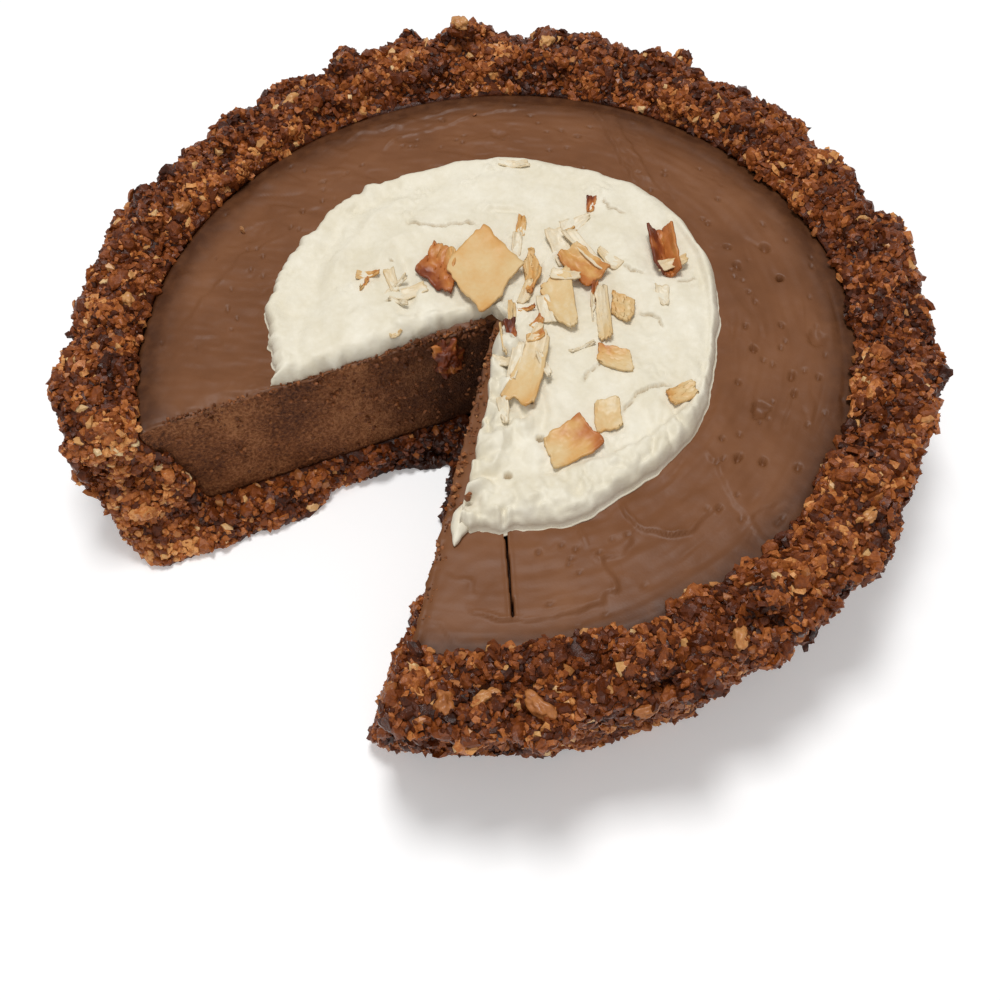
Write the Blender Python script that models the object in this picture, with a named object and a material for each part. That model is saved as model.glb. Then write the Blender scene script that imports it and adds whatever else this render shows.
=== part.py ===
import math
import random

import bmesh
import bpy
from mathutils import Euler, Matrix, Vector, noise
from mathutils.bvhtree import BVHTree

MM = 0.001

# Driving dimensions, in metres. The origin is the middle of the underside,
# and the missing slice faces -Y.
FILLING_TOP = 45 * MM
FILLING_RADIUS = 97 * MM
FILLING_FOOT_RADIUS = 90.5 * MM
BASE_THICKNESS = 9.5 * MM
CRUST_RADIUS = 117.5 * MM
CRUST_FOOT_RADIUS = 101.5 * MM
RIM_RISE = 6.5 * MM
RIM_TILT = 2 * MM
RIM_OVERLAP = 3 * MM
RIM_HIGH_SIDE = math.radians(135)
CREAM_RADIUS = 62.9 * MM
CREAM_CENTRE = Vector((-1.5 * MM, 2 * MM, 0))
CREAM_THICKNESS = 5.2 * MM
GAP = 0.3 * MM

# The missing slice: a wedge whose point lies just past the middle.
NOTCH_POINT = Vector((-3.3 * MM, 5.4 * MM, 0))
NOTCH_HALF_ANGLE = math.radians(29.3)
NOTCH_REACH = 150 * MM
NOTCH_STEP = 5.5 * MM

# How far the crumbly crust foot stands out past each cut, as (distance from
# the point, reach) pairs. Side -1 is the cut towards -X.
FOOT_REACH = {
    -1: ((20, 12), (28, 11), (34, 7), (56, 7), (63, 13), (96, 14), (108, 14.5), (117, 7), (124, 1)),
    1: ((20, 12), (38, 10), (58, 8), (74, 12), (96, 13), (108, 16)),
}

# The foot is pushed outwards where the cut towards -X ends.
FOOT_SPREAD = 9 * MM
FOOT_SPREAD_ANGLE = math.radians(-122)
FOOT_SPREAD_WIDTH = math.radians(20)

# The knife slit in the filling, from beside the cream towards the rim.
SLIT_START = Vector((35 * MM, -37 * MM, 0))
SLIT_END = Vector((58.7 * MM, -61 * MM, 0))
SLIT_WIDTH = 1.1 * MM
SLIT_DEPTH = 7 * MM

CRUST_SEGMENTS = 152
CRUST_ROWS = 19
CRUST_KEPT = 0.74
FILLING_SEGMENTS = 60
CREAM_SEGMENTS = 46
CREAM_INSETS = (0, 0.6, 2.6, 5.4, 10, 17, 26, 38, 52)

# Clumps on the crust: how many, and their half sizes from large to small.
CLUMP_COUNT = 30
CLUMP_LARGE = 7.6 * MM
CLUMP_SMALL = 5 * MM
CUT_CLUMP_COUNT = 11
WALL_CLUMP_COUNT = 4

# The pebbly relief all over the crust: size of a pebble, and its height.
PEBBLE = 10 * MM
PEBBLE_DEPTH = 4.6 * MM
CRAG_JITTER = 0.9 * MM

# A toasted chunk stuck in the cut towards -X: distance from the point,
# height, half sizes along, out and up.
CHUNK_DISTANCE = 15.5 * MM
CHUNK_HEIGHT = 36.5 * MM
CHUNK_SIZE = Vector((4.8 * MM, 3.6 * MM, 6.8 * MM))

# Larger coconut flakes on the cream: middle, length and width in mm, turn
# about Z and lean in degrees, then the bend and fold as parts of the length.
FLAKES = {
    "coconut_flake_crumpled": dict(
        place=(-24.6, 3.6), size=(17, 10), turn=128, lean=(6, -6), bend=-0.10, fold=0.22, colour="toasted"),
    "coconut_flake_square": dict(
        place=(-11.4, 10.6), size=(26, 19), turn=130, lean=(4, -9), bend=0.06, fold=0.02, colour="golden"),
    "coconut_flake_curl": dict(
        place=(-2.2, 21.5), size=(14, 6.5), turn=122, lean=(18, 10), bend=0.24, fold=0.10, colour="golden"),
    "coconut_flake_twin": dict(
        place=(6.6, 31.5), size=(16, 8), turn=168, lean=(-8, 8), bend=0.16, fold=0.10, colour="golden"),
    "coconut_flake_long": dict(
        place=(11.2, 16.6), size=(25, 9), turn=152, lean=(10, -8), bend=0.12, fold=0.05, colour="pale"),
    "coconut_flake_strip": dict(
        place=(22.2, 19.4), size=(17, 3.6), turn=135, lean=(24, 8), bend=-0.14, fold=0.05, colour="pale"),
    "coconut_flake_ragged": dict(
        place=(24.6, 27.0), size=(11, 6), turn=145, lean=(16, -12), bend=0.16, fold=0.08, colour="golden"),
    "coconut_flake_spotted": dict(
        place=(33.5, 11.1), size=(10.5, 7.5), turn=8, lean=(9, 7), bend=0.12, fold=0.05, colour="golden"),
    "coconut_flake_outer": dict(
        place=(52.0, 12.2), size=(9, 6), turn=70, lean=(12, -6), bend=0.16, fold=0.06, colour="golden"),
    "coconut_flake_block": dict(
        place=(41.8, -4.2), size=(10, 7.5), turn=133, lean=(7, 8), bend=0.08, fold=0.03, colour="golden"),
    "coconut_flake_orange": dict(
        place=(41.2, -17.3), size=(13, 11), turn=85, lean=(10, -9), bend=0.18, fold=0.06, colour="golden"),
    "coconut_flake_rolled": dict(
        place=(21.1, 48.6), size=(18, 9), turn=128, lean=(6, 5), bend=-0.08, fold=0.26, colour="toasted"),
    "coconut_flake_apex": dict(
        place=(19.7, -8.0), size=(20, 8), turn=143, lean=(8, 8), bend=0.10, fold=0.08, colour="pale"),
}
FLAKE_THICKNESS = 0.9 * MM
FLAKE_CELLS = (5, 3)
FLAKE_CLEARANCE = 0.45 * MM

# Small flakes that are stuck in the cream: middle, length and width in mm
# and the turn in degrees.
STUCK_FLAKES = (
    (16.0, 26.6, 8, 3.4, 100),
    (-6.8, 50.3, 7.5, 4, 133),
    (-18.0, 31.5, 7, 4, 145),
    (-38.7, -8.0, 6, 4, 13),
    (-33.2, -3.9, 8, 4, 153),
    (-24.5, -10.5, 8, 3, 12),
    (6.4, 5.0, 7, 4, 119),
    (30.2, 36.6, 7, 5.5, 1),
    (-6.9, 42.3, 10, 5, 41),
    (10.5, 4.2, 9, 5, 60),
)

COLOURS = {
    "crust": ((0.160, 0.052, 0.018), 0.75),
    "filling": ((0.125, 0.055, 0.032), 0.48),
    "cream": ((0.800, 0.760, 0.680), 0.55),
    "golden": ((0.700, 0.430, 0.170), 0.50),
    "toasted": ((0.330, 0.105, 0.025), 0.50),
    "pale": ((0.790, 0.640, 0.430), 0.50),
}


def material(name):
    colour, roughness = COLOURS[name]
    made = bpy.data.materials.get(name) or bpy.data.materials.new(name)
    made.use_nodes = True
    shader = made.node_tree.nodes["Principled BSDF"]
    shader.inputs["Base Color"].default_value = (*colour, 1)
    shader.inputs["Roughness"].default_value = roughness
    shader.inputs["Metallic"].default_value = 0
    return made


def new_object(name, mesh, finish):
    made = bpy.data.objects.new(name, mesh)
    bpy.context.scene.collection.objects.link(made)
    made.data.materials.clear()
    made.data.materials.append(material(finish))
    return made


def object_from(bm, name, finish):
    mesh = bpy.data.meshes.new(name)
    bmesh.ops.recalc_face_normals(bm, faces=bm.faces)
    bmesh.ops.triangulate(bm, faces=bm.faces)
    bm.to_mesh(mesh)
    bm.free()
    return new_object(name, mesh, finish)


def remove(made):
    mesh = made.data
    bpy.data.objects.remove(made)
    bpy.data.meshes.remove(mesh)


def apply_boolean(target, operation, cutter=None, group=None, solver="EXACT"):
    """Joins or cuts the target, applies that, and removes what was used."""
    step = target.modifiers.new(operation, "BOOLEAN")
    step.operation = operation
    step.solver = solver
    if group:
        step.operand_type = "COLLECTION"
        step.collection = group
    else:
        step.object = cutter
    depsgraph = bpy.context.evaluated_depsgraph_get()
    result = bpy.data.meshes.new_from_object(target.evaluated_get(depsgraph))
    old = target.data
    target.modifiers.clear()
    target.data = result
    bpy.data.meshes.remove(old)
    for used in list(group.objects) if group else [cutter]:
        remove(used)
    if group:
        bpy.data.collections.remove(group)


def keep_largest(target, merge=0.001 * MM):
    """Drops loose scraps and fills sealed hollows: only the largest shell stays."""
    bm = bmesh.new()
    bm.from_mesh(target.data)
    bmesh.ops.remove_doubles(bm, verts=bm.verts, dist=merge)
    bmesh.ops.dissolve_degenerate(bm, edges=bm.edges, dist=merge)
    unseen = set(bm.verts)
    shells = []
    while unseen:
        shell, edge = set(), [unseen.pop()]
        while edge:
            vert = edge.pop()
            shell.add(vert)
            near = set(neighbours(vert)) & unseen
            unseen -= near
            edge.extend(near)
        shells.append(shell)
    shells.sort(key=len)
    loose = [vert for shell in shells[:-1] for vert in shell]
    bmesh.ops.delete(bm, geom=loose, context="VERTS")
    bmesh.ops.triangulate(bm, faces=bm.faces)
    bm.to_mesh(target.data)
    bm.free()


def thin_out(target, ratio):
    """Collapses the slivers that the joins left, down to a share of the triangles."""
    step = target.modifiers.new("thin out", "DECIMATE")
    step.ratio = ratio
    depsgraph = bpy.context.evaluated_depsgraph_get()
    old = target.data
    target.data = bpy.data.meshes.new_from_object(target.evaluated_get(depsgraph))
    target.modifiers.clear()
    bpy.data.meshes.remove(old)


def from_table(table, at):
    """Reads a value between the (place, value) pairs of a table, in metres."""
    at /= MM
    if at <= table[0][0]:
        return table[0][1] * MM
    for (low, first), (high, second) in zip(table, table[1:]):
        if at <= high:
            part = (at - low) / (high - low)
            return (first + (second - first) * part) * MM
    return table[-1][1] * MM


def smooth(low, high, value):
    part = min(max((value - low) / (high - low), 0), 1)
    return part * part * (3 - 2 * part)


def wobble(point, size, seed):
    """Smooth noise from -1 to 1 whose features are about the given size."""
    return noise.noise(Vector(point) / size + Vector((seed, 2.7 * seed, -1.3 * seed)))


def on_circle(radius, angle, height):
    return Vector((radius * math.cos(angle), radius * math.sin(angle), height))


def neighbours(vert):
    return [edge.other_vert(vert) for edge in vert.link_edges]


def circle(radius, height, segments):
    return [on_circle(radius, math.tau * step / segments, height) for step in range(segments)]


def stacked(outlines):
    """A closed body: each outline is extruded from the one before, with flat ends."""
    bm = bmesh.new()
    verts = [bm.verts.new(point) for point in outlines[0]]
    edges = [bm.edges.new(pair) for pair in zip(verts, verts[1:] + verts[:1])]
    bm.faces.new(verts)
    for outline in outlines[1:]:
        grown = set(bmesh.ops.extrude_edge_only(bm, edges=edges)["geom"])
        verts = [next(end for end in neighbours(vert) if end in grown) for vert in verts]
        for vert, point in zip(verts, outline):
            vert.co = point
        edges = [item for item in grown if isinstance(item, bmesh.types.BMEdge)]
        edges = [edge for edge in edges if all(vert in verts for vert in edge.verts)]
    bm.faces.new(verts)
    return bm


# The cut

def cut_frame(side):
    """Directions along a cut, away from the point, and out into the gap."""
    along = Vector((side * math.sin(NOTCH_HALF_ANGLE), -math.cos(NOTCH_HALF_ANGLE), 0))
    outward = Vector((-side * math.cos(NOTCH_HALF_ANGLE), -math.sin(NOTCH_HALF_ANGLE), 0))
    return along, outward


def cut_point(side, distance, outward, height):
    along, out = cut_frame(side)
    return NOTCH_POINT + along * distance + out * outward + Vector((0, 0, height))


def notch_cutter(name, reach, roughness, seed):
    """The missing slice as a body whose walls lean and crumble.

    reach(side, distance, height) says how far a wall stands into the gap."""
    levels = [level * NOTCH_STEP - 8 * MM for level in range(14)]
    steps = int(NOTCH_REACH / NOTCH_STEP)

    def outline(height):
        tip = max(reach(-1, 0, height), reach(1, 0, height), 0)
        first = tip / math.tan(NOTCH_HALF_ANGLE) + 2.5 * MM
        points = []
        for side in (-1, 1):
            wall = []
            for step in range(steps + 1):
                distance = first + (NOTCH_REACH - first) * step / steps
                point = cut_point(side, distance, 0, height)
                rough = roughness * (wobble(point, 7 * MM, seed) + 0.8 * wobble(point, 3.5 * MM, seed + 5))
                wall.append(cut_point(side, distance, reach(side, distance, height) + rough, height))
            points.append(wall)
        middle = NOTCH_POINT + Vector((0, -tip / math.sin(NOTCH_HALF_ANGLE), height))
        return points[0][::-1] + [middle] + points[1]

    return object_from(stacked([outline(height) for height in levels]), name, "crust")


def crust_reach(side, distance, height):
    lean = (1 - min(max(height, 0) / (FILLING_TOP + RIM_RISE), 1)) ** 1.6
    top = 0.5 * MM if side < 0 else 2 * MM
    return top + (from_table(FOOT_REACH[side], distance) - top) * lean


def filling_reach(side, distance, height):
    foot = (2.5 if side < 0 else 4.5) * MM
    return 0.3 * MM + foot * (1 - min(max(height, 0) / FILLING_TOP, 1))


def cream_reach(side, distance, height):
    """The cream is drawn back from the cut towards +X and at the point."""
    near_point = 1 - smooth(18 * MM, 34 * MM, distance)
    if side > 0:
        return (-3.8 + 1.5 * near_point) * MM
    return (-0.6 - 1.6 * near_point) * MM


# The crust

def rim_rise(angle):
    return RIM_RISE + RIM_TILT * math.cos(angle - RIM_HIGH_SIDE)


def uneven_radius(angle):
    """The pressed wall isn't quite round: wider at the back left."""
    wide = 1.2 + 3.4 * math.cos(angle - math.radians(150))
    waves = 0.9 * math.sin(3 * angle + 0.8) + 0.7 * math.sin(7 * angle + 2.1)
    return (wide + waves) * MM


def foot_radius(angle):
    turned = (angle - FOOT_SPREAD_ANGLE + math.pi) % math.tau - math.pi
    return CRUST_FOOT_RADIUS + FOOT_SPREAD * math.exp(-(turned / FOOT_SPREAD_WIDTH) ** 2)


def crust_outline(share, angle):
    """The wall's outer face and rounded top: share 0 is the foot, 1 the filling's edge."""
    rise = rim_rise(angle)
    turn = 0.56
    if share < turn:
        part = share / turn
        radius = foot_radius(angle) + (CRUST_RADIUS - foot_radius(angle)) * part ** 0.85
        height = 1.5 * MM + (FILLING_TOP - 3 * MM) * part
    else:
        part = (share - turn) / (1 - turn)
        half = (CRUST_RADIUS - FILLING_RADIUS) / 2 + RIM_OVERLAP / 2
        bow = math.pi * part
        radius = CRUST_RADIUS - half * (1 - math.cos(bow))
        low = FILLING_TOP - 1.5 * MM + 2 * MM * part
        height = low + (rise + 0.5 * MM) * max(math.sin(bow), 0) ** 0.7
    return on_circle(radius + uneven_radius(angle) * smooth(0, 0.3, share), angle, height)


def crust_core():
    """A pressed shell, flat underneath, with a craggy wall and top."""
    draw = random.Random(11)
    directions = [math.tau * column / CRUST_SEGMENTS for column in range(CRUST_SEGMENTS)]
    outlines = [[on_circle(foot_radius(angle) - 2.5 * MM, angle, 0) for angle in directions]]
    for row in range(CRUST_ROWS):
        share = row / (CRUST_ROWS - 1)
        ends = smooth(0, 0.12, share) * smooth(0, 0.06, 1 - share)
        outline = []
        for column in range(CRUST_SEGMENTS):
            angle = math.tau * (column + row % 2 / 2) / CRUST_SEGMENTS
            place, normal = crust_outline(share, angle), crust_normal(share, angle)
            place += normal * (crag(place) + CRAG_JITTER * draw.uniform(-1, 1)) * (0.25 + 0.75 * ends)
            place.z = max(place.z, 1 * MM)
            outline.append(place)
        outlines.append(outline)
    outlines.append(circle(FILLING_RADIUS - 4 * MM, FILLING_TOP - 3 * MM, CRUST_SEGMENTS))
    outlines.append(circle(FILLING_FOOT_RADIUS - 4 * MM, BASE_THICKNESS, CRUST_SEGMENTS))
    return object_from(stacked(outlines), "crust", "crust")


def crag(place):
    """Pebbly relief: rounded clusters of uneven height with crevices between them."""
    distances, centres = noise.voronoi(place / PEBBLE)
    dome = math.sqrt(max(1 - (distances[0] / 0.8) ** 2, 0))
    tall = 0.75 + 0.5 * noise.cell(centres[0] * 7.3)
    return PEBBLE_DEPTH * (dome * tall - 0.8) + 1.3 * MM * wobble(place, 24 * MM, 3)


def crust_normal(share, angle):
    ahead = crust_outline(share, angle + 0.01) - crust_outline(share, angle - 0.01)
    up = crust_outline(min(share + 0.01, 1), angle) - crust_outline(max(share - 0.01, 0), angle)
    return ahead.cross(up).normalized()


def clump(group, draw, place, normal, size):
    """One rounded cluster of oats or a nut piece, sunk a third into the crust."""
    bm = bmesh.new()
    bmesh.ops.create_icosphere(bm, subdivisions=1, radius=1)
    for vert in bm.verts:
        vert.co *= draw.uniform(0.82, 1.15)
    stretch = Vector((draw.uniform(0.95, 1.3), draw.uniform(0.75, 1.0), draw.uniform(0.55, 0.75))) * size
    bmesh.ops.scale(bm, vec=stretch, verts=bm.verts)
    upright = normal.to_track_quat("Z", "Y").to_matrix()
    spin = Matrix.Rotation(draw.uniform(0, math.tau), 3, "Z")
    tip = Euler((draw.uniform(-0.5, 0.5), draw.uniform(-0.5, 0.5), 0)).to_matrix()
    bmesh.ops.rotate(bm, matrix=upright @ tip @ spin, verts=bm.verts)
    bmesh.ops.translate(bm, vec=place + normal * size * 0.12, verts=bm.verts)
    for vert in bm.verts:
        vert.co.z = max(vert.co.z, 0.6 * MM)
    made = object_from(bm, "clump", "crust")
    bpy.context.scene.collection.objects.unlink(made)
    group.objects.link(made)


def crust_clumps(group):
    """Clumps all round the wall, largest first, in a golden-angle spread."""
    draw = random.Random(4)
    golden = math.pi * (3 - math.sqrt(5))
    for index in range(CLUMP_COUNT):
        angle = index * golden + draw.uniform(-0.05, 0.05)
        share = 0.10 + 0.84 * ((index * 0.754877) % 1)
        place, normal = crust_outline(share, angle), crust_normal(share, angle)
        part = index / (CLUMP_COUNT - 1)
        size = CLUMP_LARGE + (CLUMP_SMALL - CLUMP_LARGE) * part ** 0.6
        away = min((place - cut_point(side, place.length, 0, place.z)).length for side in (-1, 1))
        inside_gap = abs(math.atan2(place.x - NOTCH_POINT.x, NOTCH_POINT.y - place.y)) < NOTCH_HALF_ANGLE
        if inside_gap or away < 5 * MM:
            continue
        clump(group, draw, place, normal, size)


def cut_clumps(group):
    """Clumps that broke unevenly along the foot and the wall of both cuts."""
    draw = random.Random(9)
    for side in (-1, 1):
        outward = cut_frame(side)[1]
        for index in range(WALL_CLUMP_COUNT):
            height = (10 + 33 * index / (WALL_CLUMP_COUNT - 1)) * MM
            distance = (101 + 0.16 * height / MM + draw.uniform(-2, 4)) * MM
            place = cut_point(side, distance, crust_reach(side, distance, height) - 1.5 * MM, height)
            clump(group, draw, place, outward, draw.uniform(3, 4.8) * MM)
        for index in range(CUT_CLUMP_COUNT):
            distance = (27 + 74 * index / (CUT_CLUMP_COUNT - 1) + draw.uniform(-2, 2)) * MM
            reach = from_table(FOOT_REACH[side], distance)
            size = draw.uniform(2.8, 4.6) * MM
            height = draw.uniform(3.5, 9.5) * MM
            place = cut_point(side, distance, reach * draw.uniform(0.45, 0.95) - 1.5 * MM, height)
            normal = (outward + Vector((0, 0, draw.uniform(0.2, 1.2)))).normalized()
            clump(group, draw, place, normal, size)


def build_crust():
    crust = crust_core()
    apply_boolean(crust, "DIFFERENCE", notch_cutter("crust_gap", crust_reach, 1.4 * MM, 21))
    keep_largest(crust)
    group = bpy.data.collections.new("clumps")
    bpy.context.scene.collection.children.link(group)
    crust_clumps(group)
    cut_clumps(group)
    apply_boolean(crust, "UNION", group=group)
    room = filling_body("filling_room", GAP)
    apply_boolean(crust, "DIFFERENCE", room)
    keep_largest(crust)
    thin_out(crust, CRUST_KEPT)
    keep_largest(crust)
    return crust


# The filling

def filling_swell(point):
    """Broad strokes of the spatula, which fade out under the cream."""
    radius = (Vector((point.x, point.y, 0)) - CREAM_CENTRE).length
    bare = smooth(CREAM_RADIUS + 1 * MM, CREAM_RADIUS + 9 * MM, radius)
    bare *= 1 - smooth(FILLING_RADIUS - 7 * MM, FILLING_RADIUS - 1 * MM, math.hypot(point.x, point.y))
    return (0.9 * wobble(point, 26 * MM, 8) + 0.5 * wobble(point, 11 * MM, 12)) * MM * bare


def filling_body(name, grow):
    """The filling's disc: grow adds the same gap all round, for its room in the crust."""
    high = FILLING_TOP + grow
    side = [
        (FILLING_FOOT_RADIUS - 3 * MM + grow, BASE_THICKNESS + GAP - grow),
        (FILLING_FOOT_RADIUS + grow, BASE_THICKNESS + 2.5 * MM),
        (FILLING_RADIUS - 1.2 * MM + grow, FILLING_TOP - 7 * MM),
        (FILLING_RADIUS + grow, high - 1.2 * MM),
        (FILLING_RADIUS - 1.5 * MM + grow, high),
    ]
    inner_edge = CREAM_RADIUS - 3 * MM
    rows = 4
    top = [(inner_edge + (side[-1][0] - inner_edge) * (rows - row) / (rows + 1), high) for row in range(rows + 1)]
    bm = stacked([circle(radius, height, FILLING_SEGMENTS) for radius, height in side + top])
    for vert in bm.verts:
        if vert.co.z > high - 0.1 * MM:
            vert.co.z += filling_swell(vert.co)
    made = object_from(bm, name, "filling")
    apply_boolean(made, "DIFFERENCE", notch_cutter("filling_gap", filling_reach_grown(grow), 0.5 * MM, 33))
    return made


def filling_reach_grown(grow):
    """The cut of the filling's own body, or of the slightly larger room for it."""
    return lambda side, distance, height: filling_reach(side, distance, height) + grow


def slit_cutter():
    """A narrow blade mark: a wedge that is widest at the surface."""
    run = SLIT_END - SLIT_START
    across = Vector((-run.y, run.x, 0)).normalized() * SLIT_WIDTH / 2
    high = FILLING_TOP + 4 * MM
    low = FILLING_TOP - SLIT_DEPTH
    bm = bmesh.new()
    corners = [SLIT_START - across, SLIT_END - across, SLIT_END + across, SLIT_START + across]
    face = bm.faces.new([bm.verts.new(corner + Vector((0, 0, high))) for corner in corners])
    grown = bmesh.ops.extrude_face_region(bm, geom=[face], use_keep_orig=True)
    for item in grown["geom"]:
        if isinstance(item, bmesh.types.BMVert):
            item.co.z = low
            item.co -= across * 0.6 * (1 if (item.co - SLIT_START).dot(across) > 0 else -1)
    return object_from(bm, "slit", "filling")


def stuck_chunk():
    """A rough toasted chunk, half sunk in the cut face."""
    draw = random.Random(31)
    bm = bmesh.new()
    bmesh.ops.create_icosphere(bm, subdivisions=2, radius=1)
    for vert in bm.verts:
        vert.co *= draw.uniform(0.86, 1.12)
    bmesh.ops.scale(bm, vec=CHUNK_SIZE, verts=bm.verts)
    along = cut_frame(-1)[0]
    bmesh.ops.rotate(bm, matrix=Matrix.Rotation(math.atan2(along.y, along.x), 3, "Z"), verts=bm.verts)
    out = filling_reach(-1, CHUNK_DISTANCE, CHUNK_HEIGHT)
    bmesh.ops.translate(bm, vec=cut_point(-1, CHUNK_DISTANCE, out, CHUNK_HEIGHT), verts=bm.verts)
    return object_from(bm, "chunk", "filling")


def build_filling():
    filling = filling_body("filling", 0)
    apply_boolean(filling, "DIFFERENCE", slit_cutter())
    apply_boolean(filling, "UNION", stuck_chunk())
    keep_largest(filling)
    return filling


# The cream

def cream_edge(angle):
    """The spread isn't round: flatter towards the +X cut and the -X cut."""
    flats = -3.2 * math.exp(-((angle - math.radians(37)) / 0.33) ** 2)
    flats -= 2.4 * math.exp(-((angle - math.radians(-131)) / 0.30) ** 2)
    bumps = 1.5 * math.cos(3 * (angle - math.radians(75))) * 0.6 + 0.5 * math.sin(9 * angle + 0.6)
    return CREAM_RADIUS + (flats + bumps) * MM


def cream_height(inset, angle, point):
    """Height above the filling: a rounded edge, a soft lip and a swirled top."""
    edge = 1 - (1 - min(inset / (4 * MM), 1)) ** 2.4
    lip_side = 0.45 + 0.55 * smooth(-0.2, 0.6, math.cos(angle - math.radians(-5)))
    lip = 1.3 * lip_side * math.exp(-((inset - 4.5 * MM) / (2.6 * MM)) ** 2)
    rough = smooth(20 * MM, 0, abs((point - cut_point(1, 40 * MM, -8 * MM, 0)).length) - 18 * MM)
    swirl = 0.5 * wobble(point, 17 * MM, 5) + 0.35 * wobble(point, 8 * MM, 6)
    heaps = 1.6 * rough * (0.5 + wobble(point, 9 * MM, 15))
    calm = smooth(1 * MM, 7 * MM, inset)
    return CREAM_THICKNESS * 0.86 * math.sqrt(edge) + (lip + (swirl + heaps) * calm) * MM


def build_cream():
    low = FILLING_TOP + GAP
    angles = [math.tau * column / CREAM_SEGMENTS for column in range(CREAM_SEGMENTS)]
    outlines = [[on_circle(cream_edge(angle) - 0.8 * MM, angle, low) + CREAM_CENTRE for angle in angles]]
    for inset in CREAM_INSETS:
        outline = []
        for angle in angles:
            shrink = (cream_edge(angle) - CREAM_RADIUS) * (1 - inset * MM / CREAM_RADIUS)
            place = on_circle(CREAM_RADIUS - inset * MM + shrink, angle, 0) + CREAM_CENTRE
            place.z = low + max(cream_height(inset * MM, angle, place), 0.9 * MM)
            outline.append(place)
        outlines.append(outline)
    bm = stacked(outlines)
    cream = object_from(bm, "cream", "cream")
    apply_boolean(cream, "DIFFERENCE", notch_cutter("cream_gap", cream_reach, 0.9 * MM, 44))
    add_drip(cream, low)
    add_stuck_flakes(cream)
    keep_largest(cream)
    return cream


def add_drip(cream, low):
    """The tongue of cream that was dragged along the cut towards +X."""
    bm = bmesh.new()
    bmesh.ops.create_icosphere(bm, subdivisions=2, radius=1)
    bmesh.ops.scale(bm, vec=(6.5 * MM, 2.6 * MM, 2.1 * MM), verts=bm.verts)
    for vert in bm.verts:
        vert.co.y *= 1 - 0.55 * max(vert.co.x, 0) / (6.5 * MM)
    bmesh.ops.rotate(bm, matrix=Matrix.Rotation(math.radians(-62), 3, "Z"), verts=bm.verts)
    bmesh.ops.translate(bm, vec=(32.6 * MM, -49.6 * MM, low + 0.9 * MM), verts=bm.verts)
    for vert in bm.verts:
        vert.co.z = max(vert.co.z, low)
    apply_boolean(cream, "UNION", object_from(bm, "drip", "cream"))


def surface_tree(objects):
    """One search tree over several objects, in world space."""
    verts, faces = [], []
    for item in objects:
        start = len(verts)
        verts += [item.matrix_world @ vert.co for vert in item.data.vertices]
        faces += [[start + index for index in face.vertices] for face in item.data.polygons]
    return BVHTree.FromPolygons(verts, faces)


def height_of(tree, x, y):
    return tree.ray_cast(Vector((x, y, 0.2)), Vector((0, 0, -1)))[0].z


def wavy_sheet(draw, length, width, thickness, cells, bend, fold):
    """A thin chip: a grid with ragged edges, bent and folded, then thickened."""
    bm = bmesh.new()
    bmesh.ops.create_grid(bm, x_segments=cells[0], y_segments=cells[1], size=0.5)
    phase = draw.uniform(0, 6)
    for vert in bm.verts:
        x, y = vert.co.x, vert.co.y
        if abs(x) > 0.49 or abs(y) > 0.49:
            x += draw.uniform(-0.07, 0.05) * (1 if x > 0 else -1)
            y += draw.uniform(-0.10, 0.06) * (1 if y > 0 else -1)
        curl = bend * (4 * x * x - 0.4) + fold * (2.6 * y * y - 0.2)
        curl += 0.035 * math.sin(7 * x + phase) + 0.03 * math.sin(6 * y + phase)
        vert.co = Vector((x * length, y * width * (1 - 0.25 * min(fold, 1)), curl * length))
    bmesh.ops.triangulate(bm, faces=bm.faces, quad_method="FIXED")
    bmesh.ops.solidify(bm, geom=bm.faces, thickness=thickness)
    return bm


def add_stuck_flakes(cream):
    """Small flakes half sunk in the cream, joined to it."""
    draw = random.Random(17)
    tree = surface_tree([cream])
    group = bpy.data.collections.new("stuck")
    bpy.context.scene.collection.children.link(group)
    for x, y, length, width, turn in STUCK_FLAKES:
        bm = wavy_sheet(draw, length * MM, width * MM, 1.1 * MM, (3, 2), 0.05, 0)
        high = height_of(tree, x * MM, y * MM)
        lean = Euler((math.radians(draw.uniform(-16, 16)), math.radians(draw.uniform(-16, 16)), math.radians(turn)))
        bmesh.ops.rotate(bm, matrix=lean.to_matrix(), verts=bm.verts)
        bmesh.ops.translate(bm, vec=(x * MM, y * MM, high + 0.5 * MM), verts=bm.verts)
        made = object_from(bm, "stuck", "cream")
        bpy.context.scene.collection.objects.unlink(made)
        group.objects.link(made)
    apply_boolean(cream, "UNION", group=group)


# The loose toppings

def drop_onto(made, obstacles, place, turn):
    """Lowers a piece until it clears everything below it by the same small gap."""
    above = Matrix.Translation((place[0] * MM, place[1] * MM, 0.1)) @ turn.to_matrix().to_4x4()
    made.matrix_world = above
    bpy.context.view_layer.update()
    tree = surface_tree(obstacles)
    own = surface_tree([made])
    drops = []
    for edge in made.data.edges:
        ends = [above @ made.data.vertices[index].co for index in edge.vertices]
        for part in (0, 0.5):
            point = ends[0].lerp(ends[1], part)
            found = tree.ray_cast(point, Vector((0, 0, -1)))
            if found[0]:
                drops.append(found[3])
    reach = max(made.dimensions)
    for item in obstacles:
        for vert in item.data.vertices:
            point = item.matrix_world @ vert.co
            if (point.xy - above.translation.xy).length < reach:
                found = own.ray_cast(point, Vector((0, 0, 1)))
                if found[0]:
                    drops.append(found[3])
    made.matrix_world = Matrix.Translation((0, 0, FLAKE_CLEARANCE - min(drops))) @ above
    bpy.context.view_layer.update()


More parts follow.
